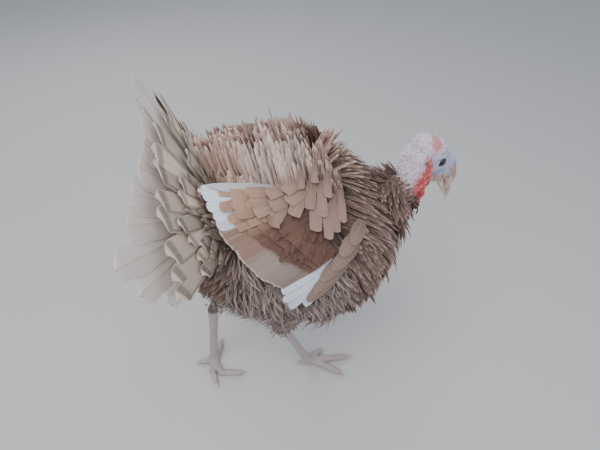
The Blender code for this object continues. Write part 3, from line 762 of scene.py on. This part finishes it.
# The trailing edge, from the innermost secondary to the outermost: share, x and arc on the chart.
TRAILING = np.array([(0, -0.151, 0.179), (0.04, -0.143, 0.163), (0.08, -0.139, 0.141),
                     (0.13, -0.129, 0.124), (0.18, -0.128, 0.109), (0.25, -0.118, 0.094),
                     (0.35, -0.107, 0.079), (0.50, -0.095, 0.061), (0.65, -0.079, 0.042),
                     (0.80, -0.064, 0.034), (1, -0.049, 0.025)])
PRIMARIES, PRIMARY_WIDTH, PRIMARY_LENGTH = 4, 0.0175, 0.098
SECONDARIES, SECONDARY_WIDTH = 20, 0.0200
COVERT_LINES = (                 # how far out, where they root, how many, width and lift
    (1.0, 0.20, 17, 0.0150, 0.0082), (0.80, 0.06, 17, 0.0150, 0.0096), (0.60, -0.08, 16, 0.0145, 0.0110))
COVERT_REACH = ((0, 0.10, 0.25, 0.50, 0.80, 1.0), (0.76, 0.90, 0.68, 0.58, 0.50, 0.45))
LOOSE_COVERTS = np.array([       # x, arc and heading of the broad ones on top
    (-0.097, 0.163, 178), (-0.094, 0.150, 180), (-0.092, 0.139, 186), (-0.074, 0.166, 186),
    (-0.072, 0.153, 184), (-0.068, 0.141, 196), (-0.050, 0.164, 196), (-0.047, 0.149, 204),
    (-0.049, 0.133, 238), (-0.029, 0.170, 214), (-0.026, 0.156, 222), (-0.024, 0.142, 250)])
WRIST_FEATHERS = np.array([      # root and tip on the chart
    (0.070, 0.136, 0.052, 0.098), (0.064, 0.118, 0.034, 0.080), (0.060, 0.100, 0.022, 0.058),
    (0.050, 0.086, 0.006, 0.040), (0.044, 0.070, -0.004, 0.020), (0.036, 0.058, -0.014, 0.000)])
SCAPULARS = np.array([           # root, tip and width
    (-0.010, 0.200, -0.015, 0.168, 0.011), (0.003, 0.186, -0.007, 0.141, 0.015),
    (0.004, 0.158, 0.000, 0.113, 0.017), (0.014, 0.186, 0.011, 0.132, 0.013),
    (0.018, 0.152, 0.017, 0.104, 0.013), (0.028, 0.166, 0.028, 0.114, 0.012),
    (0.026, 0.200, 0.021, 0.158, 0.011), (0.040, 0.176, 0.038, 0.128, 0.010),
    (0.008, 0.214, 0.006, 0.178, 0.010)])
# The wing's whites are tinted blue: painted light, the blue of the daylight falling on white feathers.
SKY_BLUED_WHITE, SKY_BLUED_WHITE_RIM, BUFF_RIM = dye(222, 233, 246), dye(222, 233, 246) * 1.05, dye(216, 204, 194)
SEC_TAN, SEC_GREY = dye(148, 119, 106), dye(160, 142, 136)
ORANGE_TAN, LIGHT_TAN, RUFOUS = dye(172, 137, 118), dye(156, 130, 117), dye(106, 78, 68)
HANGING, WRIST_BROWN = dye(150, 124, 113), dye(140, 120, 110)


def across_trunk(x):
    """Top, bottom and half width of the trunk at x, on a smooth curve through its stations."""
    spots = TRUNK_TABLE[:, 0]
    x = np.clip(x, spots[0], spots[-1])
    k = np.clip(np.searchsorted(spots, x, side="right") - 1, 0, len(spots) - 2)
    t = ((x - spots[k]) / (spots[k + 1] - spots[k]))[..., None]
    p0, p1, p2, p3 = (TRUNK_TABLE[np.clip(k + d, 0, len(spots) - 1), 1:] for d in (-1, 0, 1, 2))
    out = 0.5 * (2 * p1 + (p2 - p0) * t + (2 * p0 - 5 * p1 + 4 * p2 - p3) * t ** 2
                 + (3 * p1 - p0 - 3 * p2 + p3) * t ** 3)
    return out[..., 0], out[..., 1], out[..., 2]


def on_wing(side, chart, lift):
    """Points over a wing's shell, from places on its chart."""
    x, angle = chart[..., 0], chart[..., 1] / SHELL_ARC * (FAR_WING_ARC if side > 0 else 1)
    top, bottom, half_width = across_trunk(x * SHELL_FULLNESS)
    rise = (top - bottom) / 2 * np.where(angle > 0, SHELL_TOP, 1.0) + lift
    return np.stack([x, side * (half_width + lift) * np.cos(angle),
                     (top + bottom) / 2 + rise * np.sin(angle)], -1) + shift


def heading(degrees):
    return np.stack([np.cos(np.radians(degrees)), np.sin(np.radians(degrees))], -1)


def secondary(t, reach):
    """Places on the chart along the secondary at t, from 0 at the elbow to 1 at the wrist."""
    arm = ELBOW + (WRIST - ELBOW) * np.reshape(t, (-1, 1))
    end = np.stack([np.interp(t, TRAILING[:, 0], TRAILING[:, k]) for k in (1, 2)], 1)
    return arm + (end - arm) * np.reshape(reach, (-1, 1))


def primary(t, reach):
    """Places on the chart along the primary at t, from 0 at the innermost."""
    length = (PRIMARY_LENGTH + 0.012 * np.sin(pi * t)) * reach
    return (WRIST + np.array([0.010, -0.006]) * np.reshape(t, (-1, 1))
            + heading(221 + 16 * t) * np.reshape(length, (-1, 1)))


def wing_vanes(side, roots, tips, width, lift, rise, rows, cols=7, blunt=0.92, round_from=0.90,
               tilt=0.0012):
    """Vanes that lie on the wing's shell from root to tip places on its chart. Each is lifted off
    it, more so by rise at its tip, and tilted so that its edge lies over the next."""
    s = stops(rows)[None]
    reach = np.linalg.norm(tips - roots, axis=1)[:, None]
    way = (tips - roots) / reach
    cross = np.stack([-way[:, 1], way[:, 0]], 1)
    line = roots[:, None] * (1 - s[..., None]) + tips[:, None] * s[..., None]
    half = (np.reshape(width, (-1, 1)) / 2 * outline(s, blunt, round_from, 0.6))[..., None]
    c = np.linspace(-1, 1, cols)
    grid = len(roots), rows, cols
    uneven = 1 + rng.normal(0, 0.03, grid) * np.abs(c)
    chart = line[:, :, None] + cross[:, None, None] * (half * c * uneven)[..., None]
    torn = rng.uniform(-0.25, 0.1, grid) * (s[..., None] > 0.999) * half
    sunk = 1 - 0.6 * ramp(chart[..., 1], 0.150, 0.190)
    height = (np.reshape(lift, (-1, 1, 1)) * sunk + np.reshape(rise, (-1, 1, 1)) * s[..., None] ** 1.5
              - 0.10 * half * c ** 2 + tilt * c)
    return on_wing(side, chart + way[:, None, None] * torn[..., None], height)


def row(side, roots, tips, width, lift, tone, rise=0.003, **shape):
    """A row of small vanes on one wing, their two colours, and their places on the coat's map."""
    vanes = wing_vanes(side, roots, tips, width, lift, rise, rows=10, cols=5, **shape)
    tone = np.reshape(tone, (-1, 3)) * (1 + jitter(len(roots), 0.055))[:, None]
    return vanes, tone, tone * 1.18, np.stack([0.45 + roots[:, 0], 0.35 + roots[:, 1] / 2], 1)


flight_finish = feather_finish("flight_vane", barbs=70, edge=0.04, fade=0.3, roughness=0.55, dark=0.25)
small_finish = feather_finish("covert_vane", barbs=24, edge=0.12, fade=0.8, roughness=0.6, dark=0.34,
                              shaft_light=0.15)
for side, word in ((-1, "right"), (1, "left")):
    # Primaries: white blades, the middle ones longest, their tips apart.
    t = (np.arange(PRIMARIES) + 0.5) / PRIMARIES
    roots, tips = primary(t, 0.05), primary(t, np.array([0.93, 1.0, 1.07, 0.97]))
    tips += np.linspace((-0.006, 0.005), (0.006, -0.003), PRIMARIES)
    blades = wing_vanes(side, roots, tips, PRIMARY_WIDTH,
                        lift=0.003 + 0.00055 * np.arange(PRIMARIES)[::-1], rise=0.003, rows=24,
                        blunt=0.70, round_from=0.92)
    piece = vane_piece(f"primary_feathers_{word}", blades, np.tile(SKY_BLUED_WHITE, (PRIMARIES, 1)),
                       np.tile(SKY_BLUED_WHITE_RIM, (PRIMARIES, 1)), np.stack([0.6 + 0.01 * t, 0.3 + 0.02 * t], 1),
                       flight_finish, "white_plumage")
    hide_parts(f"primaries_{word}")
    # Secondaries: those nearest the back are white, then tan, then a pale greyish buff.
    t = ((np.arange(SECONDARIES) + 0.3) / SECONDARIES) ** 1.25
    roots, tips = secondary(t, 0.05), secondary(t, 1.0 + jitter(SECONDARIES, 0.008))
    blades = wing_vanes(side, roots, tips, SECONDARY_WIDTH, lift=0.0050 + 0.0015 * (1 - t),
                        rise=0.001, rows=20, blunt=0.96, round_from=0.93, tilt=0.0009)
    white = ramp(-t, -0.175, -0.135)
    buff = mixed(ramp(t, 0.34, 0.50), SEC_TAN, mixed(ramp(t, 0.62, 0.95), SEC_GREY, SEC_GREY * 0.74))
    tint = mixed(white, buff * (1 + jitter(SECONDARIES, 0.035))[:, None], SKY_BLUED_WHITE)
    piece = vane_piece(f"secondary_feathers_{word}", blades, tint, mixed(white, BUFF_RIM, SKY_BLUED_WHITE),
                       np.stack([0.4 + 0.1 * t, 0.3 + 0.05 * t], 1), flight_finish, "wing_plumage")
    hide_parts(f"secondaries_{word}")
    # Long pale tertials lie along the wing's upper edge.
    k = np.linspace(0, 1, 4)[:, None]
    parts = [row(side, [-0.052, 0.176] + k * [0.0, -0.008], [-0.138, 0.182] + k * [0.014, -0.008],
                 width=0.009, lift=0.0092 - 0.0008 * k[:, 0], tone=mixed(0.55, LIGHT_TAN, SKY_BLUED_WHITE),
                 round_from=0.85)]
    # Coverts: rufous rows low on the wing, tan squarish ones above, each row over the last.
    for part, first, count, width, lift in COVERT_LINES:
        t = (np.arange(count) + 0.35) / count * 0.96
        reach = part * np.interp(t, *COVERT_REACH)
        parts.append(row(side, secondary(t, first), secondary(t, reach + jitter(count, 0.010)),
                         width, lift, tone=mixed(ramp(-t, -0.30, -0.16), RUFOUS, ORANGE_TAN),
                         blunt=1.0, round_from=0.97))
    # Broad light coverts lie over the upper wing, a little out of order.
    count, spots = len(LOOSE_COVERTS), LOOSE_COVERTS[:, :2]
    way = heading(LOOSE_COVERTS[:, 2] + jitter(count, 5))
    parts.append(row(side, spots - way * 0.020, spots + way * 0.011, width=0.0175,
                     lift=0.0125 + 0.0004 * np.arange(count), rise=0.0045,
                     tone=mixed(np.linspace(0, 1, count) ** 0.7, ORANGE_TAN, LIGHT_TAN),
                     blunt=0.98, round_from=0.93))
    # One small covert has twisted out of its row.
    parts.append(row(side, np.array([[-0.062, 0.132]]), np.array([[-0.048, 0.118]]), width=0.011,
                     lift=0.0185, rise=0.006, tone=LIGHT_TAN, blunt=0.6, round_from=0.6))
    # Small coverts fill the hollow behind the wrist, darker than the rufous rows as painted shade of the
    # hollow.
    spots = np.stack(np.meshgrid(np.linspace(-0.036, 0.012, 6), np.linspace(0.124, 0.096, 3)), -1)
    count = spots.size // 2
    spots = spots.reshape(-1, 2) + rng.normal(0, 0.002, (count, 2))
    parts.append(row(side, spots, spots + heading(250 + jitter(count, 14)) * 0.026, width=0.009,
                     lift=0.0105, rise=0.005, tone=RUFOUS * 0.8, blunt=0.6))
    # Broad smooth feathers hang from the wrist over the breast's side.
    parts.append(row(side, WRIST_FEATHERS[:, :2], WRIST_FEATHERS[:, 2:], width=0.020,
                     lift=0.0090 - 0.0006 * np.arange(len(WRIST_FEATHERS)), tone=WRIST_BROWN,
                     blunt=0.7, round_from=0.8))
    piece = vane_piece(f"covert_feathers_{word}", *gathered(parts), small_finish, "wing_plumage")
    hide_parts(f"wing_coverts_{word}")
    # Scapulars: long blunt feathers that hang in steps from the shoulder, in rows side by side.
    # The left ones hang lower, with none over the shoulder.
    hung = SCAPULARS
    if side > 0:
        hung = hung[hung[:, 1] < 0.19] - [0, 0.014, 0, 0.014, 0]
    vanes = row(side, hung[:, :2], hung[:, 2:4], width=hung[:, 4],
                lift=0.0150 + 0.0006 * np.arange(len(hung)), tone=HANGING, blunt=0.97,
                round_from=0.94)
    piece = vane_piece(f"scapular_feathers_{word}", *vanes, small_finish, "wing_plumage")
    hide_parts(f"scapulars_{word}")

# ---- Body feathers ------------------------------------------------------------------------------
# Thousands of overlapping vanes over the skin, in lines that follow the coat: erect on the back,
# hanging in long strands from the shoulders down the breast, dark and ruffled at the rump, and
# soft and loose on belly and thighs. Under the wings they are short and flat.
SEEDS, LINE_GAP, LINE_STEP, HALF_LINE = 40000, 0.0046, 0.0085, 13
ROOT_DEPTH, COVERED_LENGTH, TIP_AHEAD = 0.002, 0.024, 0.045
BODY_ROWS = 8                    # of points along each feather
HOCK_HEIGHT, HOCK_LENGTH = 0.225, 0.011        # the last feathers before the bare shank
WINGS = [f"{kind}_{side}" for kind in ("secondaries", "wing_coverts", "primaries", "scapulars")
         for side in ("right", "left")]
VANES = {                        # width and bluntness
    "back": (0.0068, 0.62), "breast": (0.0062, 0.50), "collar": (0.0052, 0.45), "rump": (0.0085, 0.60),
    "flank": (0.0080, 0.50), "belly": (0.0105, 0.75), "thigh": (0.0065, 0.50)}
BACK_RUSTY, BACK_PALE, BACK_BROWN = dye(190, 157, 142), dye(226, 204, 197), dye(172, 143, 131)
BACK_TIP, PALE_TIP = dye(232, 214, 204), dye(184, 162, 150)
MANTLE_BROWN, MANTLE_EDGE, BREAST_BROWN = dye(112, 92, 86), dye(172, 146, 136), dye(80, 67, 65)
RUMP_BROWN, BELLY_BROWN, THIGH_BROWN = dye(112, 92, 84), dye(128, 108, 98), dye(140, 122, 110)
FLUFF = dye(158, 142, 137)


def tree_of(nodes):
    """The named nodes' triangles, for finding the nearest or the first one met, with their corners
    and the node that each is part of."""
    points, faces, owner = [], [], []
    for node in nodes:
        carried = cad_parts[node]
        start = len(points)
        points += [carried.matrix_world @ v.co for v in carried.data.vertices]
        faces += [tuple(start + i for i in f.vertices) for f in carried.data.polygons]
        owner += [node] * len(carried.data.polygons)
    corners = np.array([[points[i] for i in f[:3]] for f in faces])
    return BVHTree.FromPolygons(points, faces), corners, owner


coat_tree, coat_corners, coat_owner = tree_of(COATED)
wing_tree = tree_of(WINGS)[0]
skin_tree = BVHTree.FromObject(skin, bpy.context.evaluated_depsgraph_get())


def buried(place, out):
    """Whether another form of the coat covers this place."""
    hit = coat_tree.ray_cast(place + out * 0.001, out, 0.06)
    return hit[0] is not None and hit[1].dot(out) > 0


def run_of_coat(place, out, tract):
    """The way in which one feather follows the last, at a place with its outward direction."""
    x, y, z = place - SHIFT
    side = -1 if y < 0 else 1
    if tract.startswith("thigh"):
        way = Vector((-0.10, -0.25 * side, -1))
    elif tract == "neck_plumage":                     # the collar hangs
        way = Vector((-0.12, 0, -1))
    elif x > 0.045 + 0.02 * sin(60 * z):              # shoulders and breast
        front = min(max((x - 0.085) / 0.05, 0), 1)
        under = min(max(-out.z / 0.5 - 0.5, 0), 1)
        way = Vector((0.45 - 0.48 * front, 0, -0.90 - 0.10 * front)).lerp(Vector((-0.9, 0, -0.3)), under)
    elif z > 0.50 - 0.15 * max(-x - 0.10, 0):         # up the back
        way = Vector((-0.12, -0.6 * side, 1.0))
    elif z > 0.36:                                    # flank and the sides of the rump
        way = Vector((0.38, 0, -0.92))
    else:                                             # belly
        way = Vector((-1, 0, -0.25))
    way -= out * way.dot(out)
    return way.normalized() if way.length > 1e-4 else Vector((1, 0, 0))


def lay_lines(count, apart, step, reach):
    """Lines of feather roots that follow the coat side by side, never closer than apart. Each has
    its place, its outward direction, its run, its line and its node."""
    edges = np.cross(coat_corners[:, 1] - coat_corners[:, 0], coat_corners[:, 2] - coat_corners[:, 0])
    size = np.linalg.norm(edges, axis=1)
    chosen = rng.choice(len(size), count, p=size / size.sum())
    first, second, third = coat_corners[chosen].transpose(1, 0, 2)
    u, v = rng.random((2, count, 1))
    over = u + v > 1
    u, v = np.where(over, 1 - u, u), np.where(over, 1 - v, v)
    cells, laid, lines = {}, [], 0

    def crowded(spot, gap):
        a, b, c = (int(v // apart) for v in spot)
        return any((spot - other).length < gap for i in (a - 1, a, a + 1) for j in (b - 1, b, b + 1)
                   for k in (c - 1, c, c + 1) for other in cells.get((i, j, k), ()))

    for seed in first * (1 - u - v) + second * u + third * v:
        start, out, face, _ = coat_tree.find_nearest(Vector(seed))
        if crowded(start, apart) or buried(start, out):
            continue
        tract = coat_owner[face]
        line = [(start, out, run_of_coat(start, out, tract), tract)]
        for sense in (1, -1):
            place, _, way, _ = line[0] if sense < 0 else line[-1]
            for _ in range(reach):
                place, out, face, _ = coat_tree.find_nearest(place + way * (sense * step))
                tract = coat_owner[face]
                turn = run_of_coat(place, out, tract)
                if turn.dot(way) < 0.3 or crowded(place, apart * 0.72) or buried(place, out):
                    break
                way = turn
                line.insert(len(line) if sense > 0 else 0, (place, out, way, tract))
        for place, out, way, tract in line:
            laid.append((*place, *out, *way, lines, COATED.index(tract)))
            cells.setdefault(tuple(int(v // apart) for v in place), []).append(place)
        lines += 1
    return np.array(laid)


laid = lay_lines(SEEDS, LINE_GAP, LINE_STEP, HALF_LINE)
place, out, run = laid[:, :3], laid[:, 3:6], laid[:, 6:9]
number, node = laid[:, 9].astype(int), laid[:, 10]
count, lines = len(place), number.max() + 1
own = place - shift
x, y, z = own.T
over, forward = np.array([0.0, 0.0, 1.0]), np.array([1.0, 0.0, 0.0])

# How far each feather belongs to each tract of the coat.
collar = (node == COATED.index("neck_plumage")) * 1.0
thigh = (node >= COATED.index("thigh_right")) * 1.0
breast = ramp(x, 0.030, 0.060) * (1 - collar) * (1 - thigh)
rest = (1 - collar) * (1 - breast) * (1 - thigh)
rump = rest * ramp(-x, 0.110, 0.130) * ramp(z, 0.36, 0.42) * ramp(-z, -0.585, -0.560)
back = (rest - rump) * ramp(z, 0.495, 0.520)
flank = (rest - rump) * (1 - ramp(z, 0.495, 0.520)) * ramp(z, 0.350, 0.380)
belly = np.clip(rest - rump - back - flank, 0, 1)
tracts = {"back": back, "breast": breast, "collar": collar, "rump": rump, "flank": flank,
          "belly": belly, "thigh": thigh}


def weighed(**values):
    """A value for each feather, from those of the tracts that it belongs to."""
    return sum(np.reshape(tracts[tract], (-1, 1)) * value for tract, value in values.items())


# Each vane bends over to follow the coat where its tip comes to lie.
ahead = np.array([coat_tree.find_nearest(Vector(a + b * TIP_AHEAD))[1] for a, b in zip(place, run)])
on = unit(run - ahead * np.sum(run * ahead, axis=1)[:, None])
low_breast = ramp(-z, -0.44, -0.36)
crest, summit = ramp(-x, -0.100, -0.050)[:, None], ramp(out[:, 2], 0.55, 0.95)[:, None]
sway = rng.normal(0, 0.07, (lines, 3))[number] * (1 - 0.6 * back)[:, None]
sway = sway + rng.normal(0, 0.03, (count, 3))
rise = unit(sway + weighed(back=out * 0.50 + run * 0.60 + over * 0.45 - forward * 0.15,
                           breast=out * (0.36 + 0.25 * crest) + run * 0.8,
                           collar=out * 0.45 + run * 0.7, rump=out * 0.85 - forward * 0.3,
                           flank=out * 0.45 + run * 0.7, belly=out * 0.40 + run * 0.8,
                           thigh=out * 0.20 + run))
lie = unit(sway + weighed(back=out * 0.16 + run * 0.45 + over * 0.60 - forward * 0.30,
                          breast=ahead * (0.04 + 0.16 * crest + 0.16 * low_breast[:, None]) + on,
                          collar=ahead * 0.10 + on, rump=out * 0.45 - forward * 0.5 - over * 0.45,
                          flank=ahead * 0.15 + on, belly=ahead * 0.05 + on,
                          thigh=ahead * 0.05 + on))
face = weighed(back=out + forward * 0.6, breast=out, collar=out, rump=unit(np.cross(run, lie)),
               flank=out, belly=out, thigh=out)
turned = rng.normal(0, 0.40, lines)[number] + jitter(count, 0.15)
face = unit(face + np.cross(lie, face) * turned[:, None])
length = weighed(back=0.056 - 0.018 * summit, breast=0.058 - 0.014 * crest, collar=0.032, rump=0.040,
                 flank=0.038, belly=0.038, thigh=0.022)[:, 0] * (1 + jitter(count, 0.12))
length = np.where((thigh > 0.5) & (z < HOCK_HEIGHT), HOCK_LENGTH, length)
width, blunt = weighed(**VANES).T
width = width * (1 + jitter(count, 0.15))

# Every root is set in the skin below its place.
under = np.array([skin_tree.find_nearest(Vector(a))[0] for a in place])
root = under - out * ROOT_DEPTH
lift = rng.normal(0, 0.0034, lines)[number]
covered = np.array([wing_tree.ray_cast(Vector(a) - Vector(b) * 0.012, Vector(b), 0.05)[0] is not None
                    for a, b in zip(place, out)])
length = np.where(covered, COVERED_LENGTH, length)
rise = np.where(covered[:, None], unit(out * 0.15 + run), rise)
lie = np.where(covered[:, None], run, lie)
face = np.where(covered[:, None], out, face)

back_tone = mixed(ramp(x, -0.10, -0.06), BACK_RUSTY, BACK_PALE)
back_tone = mixed(ramp(x, -0.01, 0.03), back_tone, BACK_BROWN)
back_tone = mixed(ramp(-z, -0.570, -0.520) * 0.85, back_tone, RUMP_BROWN * 1.3)
tone = weighed(back=back_tone, breast=mixed(low_breast, MANTLE_BROWN, BREAST_BROWN),
               collar=MANTLE_BROWN, rump=RUMP_BROWN, flank=mixed(0.5, RUMP_BROWN, FLUFF),
               belly=BELLY_BROWN, thigh=THIGH_BROWN)
tone = tone * (1 + rng.normal(0, 0.13, lines)[number] + jitter(count, 0.06))[:, None]
rim = weighed(back=BACK_TIP, breast=mixed(low_breast, MANTLE_EDGE, PALE_TIP), collar=MANTLE_EDGE,
              rump=RUMP_BROWN * 1.5, flank=FLUFF, belly=PALE_TIP, thigh=FLUFF * 1.1)
grid = grow(root, rise, lie, face, length, width, arch=0.35, rows=BODY_ROWS, blunt=blunt)
grid += (out * lift[:, None])[:, None, None] * stops(BODY_ROWS)[:, None, None]
patch = np.stack([0.05 + 0.9 * (x + 0.20) / 0.42, np.arctan2(y, z - 0.43) / (2 * pi) + 0.5], 1)
body_finish = feather_finish("body_vane", barbs=14, edge=0.26, fade=0.8, roughness=0.78, shaft_light=0.1)
back_finish = feather_finish("back_vane", barbs=14, edge=0.22, fade=0.5, roughness=0.78, dark=0.16,
                             shaft_light=0.1)
of_back, of_front = back > 0.5, breast + collar > 0.5
for name, here, look in (("back_feathers", of_back, back_finish),
                         ("shoulder_and_breast_feathers", of_front, body_finish),
                         ("rump_and_belly_feathers", ~of_back & ~of_front, body_finish)):
    for word, side in (("right", y < 0), ("left", y >= 0)):
        chosen = here & side
        vane_piece(f"{name}_{word}", grid[chosen], tone[chosen], rim[chosen], patch[chosen], look,
                   "body_plumage")

# ---- Down ---------------------------------------------------------------------------------------
# Soft loose plumes without stiff shafts cover the vent, the belly and the upper thighs, greyish
# brown with a white tuft beside the right thigh, tinted blue as painted light from the daylight.
DOWN_SHEDS, PLUME_WIDTH = 14000, 0.0030
TUFT, TUFT_REACH, TUFT_SKY_BLUED_WHITE = [-0.133, -0.070, 0.352], [0.020, 0.035, 0.016], dye(206, 214, 222)

at = rng.choice(count, DOWN_SHEDS)
soft = (flank + belly + thigh + 0.35 * rump)[at] * (~covered[at])
at = at[rng.random(DOWN_SHEDS) < soft]
count = len(at)
root_at = root[at] + out[at] * 0.006 + rng.normal(0, 0.004, (count, 3))
rise = unit(out[at] + run[at] * 0.3 + rng.normal(0, 0.25, (count, 3)))
lie = unit(ahead[at] * 0.10 + on[at] + rng.normal(0, 0.30, (count, 3)))
face = unit(out[at] + rng.normal(0, 0.5, (count, 3)))
length = (0.034 - 0.022 * thigh[at]) * (1 + jitter(count, 0.15))
grid = grow(root_at, rise, lie, face, length, PLUME_WIDTH, arch=0.2, rows=6, blunt=0.35)
tuft = np.exp(-np.sum(((own[at] - TUFT) / TUFT_REACH) ** 2, 1))
# The tuft's white is tinted blue as painted light from the daylight.
tone = mixed(np.clip(1.4 * tuft, 0, 1), FLUFF * (1 + jitter(count, 0.10))[:, None], TUFT_SKY_BLUED_WHITE)
down_finish = feather_finish("down_plume", barbs=9, edge=0.30, fade=0.6, roughness=0.85, dark=0.18,
                             shaft_light=0.0)
vane_piece("down_plumes", grid, tone, tone * 1.1, patch[at], down_finish, "body_plumage")

# ---- Collar's edge ------------------------------------------------------------------------------
# A ring of short soft brown feathers stands up round the back of the neck, over the edge of the
# bare skin, and grows shorter towards the throat.
RING, RING_WIDTH = 900, 0.0032
NAPE_WAY = np.array([-0.45, 0.0, 0.89])

skin_points, skin_normals = points_of(skin.data), normals_of(skin.data)
past = (skin_points - shift - COLLAR_END) @ COLLAR_WAY
round_neck = np.flatnonzero((past > -0.016) & (past < 0.002) & (skin_points[:, 2] - shift[2] > 0.43))
at = rng.choice(round_neck, RING)
nape_side = ramp(skin_normals[at] @ NAPE_WAY, -0.5, 0.3)
at, nape_side = at[nape_side > 0.1], nape_side[nape_side > 0.1]
count, face = len(at), skin_normals[at]
rise = unit(face * 0.55 + COLLAR_WAY * 0.8 + rng.normal(0, 0.06, (count, 3)))
lie = unit(face * 0.22 + COLLAR_WAY + rng.normal(0, 0.07, (count, 3)))
length = (0.004 + 0.009 * nape_side) * (1 + jitter(count, 0.15))
grid = grow(skin_points[at], rise, lie, face, length, RING_WIDTH, arch=0.3, rows=6, blunt=0.4)
tone = mixed(rng.random(count), MANTLE_BROWN * 1.1, MANTLE_EDGE)
across = skin_points[at][:, 1] - shift[1]
vane_piece("collar_ring", grid, tone, tone * 1.3,
           np.stack([np.full(count, 0.93), 0.5 + across * 3], 1), body_finish, "body_plumage")

# ---- Studio -------------------------------------------------------------------------------------
# A plain pale floor, one broad soft light overhead like an overcast sky, and two weak fills. The
# view is a person's, from before the bird's right side and looking down on it.
FLOOR_GREY, ROOM_BLUE, ROOM_LIGHT = (0.62, 0.62, 0.63, 1), (0.80, 0.86, 0.95, 1), 0.55
LAMPS = (                        # name, place, size and power
    ("sky", (-0.5, -0.9, 2.3), 1.8, 42), ("fill", (1.8, -1.6, 1.0), 1.2, 8),
    ("back", (-0.8, 1.8, 1.8), 1.4, 14))
LAMP_COLOUR, LIT = (1.0, 0.97, 0.94), Vector((0, 0, 0.35))
VIEW_FROM, VIEW_TURN = Vector((-0.081, -0.559, 0.95)), (radians(47.5), 0, radians(-8))
LENS, SENSOR = 27, 36            # millimetres

floor_finish, floor_shader, spot = finish("floor", 0.85, 0.2)
floor_shader.inputs["Base Color"].default_value = FLOOR_GREY
bpy.ops.mesh.primitive_plane_add(size=12, location=(0, 1.5, 0))
floor = bpy.context.object
floor.name = "floor"
floor.data.materials.append(floor_finish)

world = bpy.data.worlds.new("room")
world.use_nodes = True
room = world.node_tree.nodes["Background"]
room.inputs["Color"].default_value = ROOM_BLUE
room.inputs["Strength"].default_value = ROOM_LIGHT
bpy.context.scene.world = world
for name, place, size, power in LAMPS:
    lamp = bpy.data.lights.new(name, 'AREA')
    lamp.size, lamp.energy, lamp.color = size, power, LAMP_COLOUR
    light = placed(bpy.data.objects.new(name, lamp))
    light.location = place
    light.rotation_euler = (LIT - Vector(place)).to_track_quat('-Z', 'Y').to_euler()

camera = placed(bpy.data.objects.new("camera", bpy.data.cameras.new("camera")))
camera.data.lens, camera.data.sensor_width = LENS, SENSOR
camera.location = VIEW_FROM + SHIFT
camera.rotation_euler = VIEW_TURN
bpy.context.scene.camera = camera
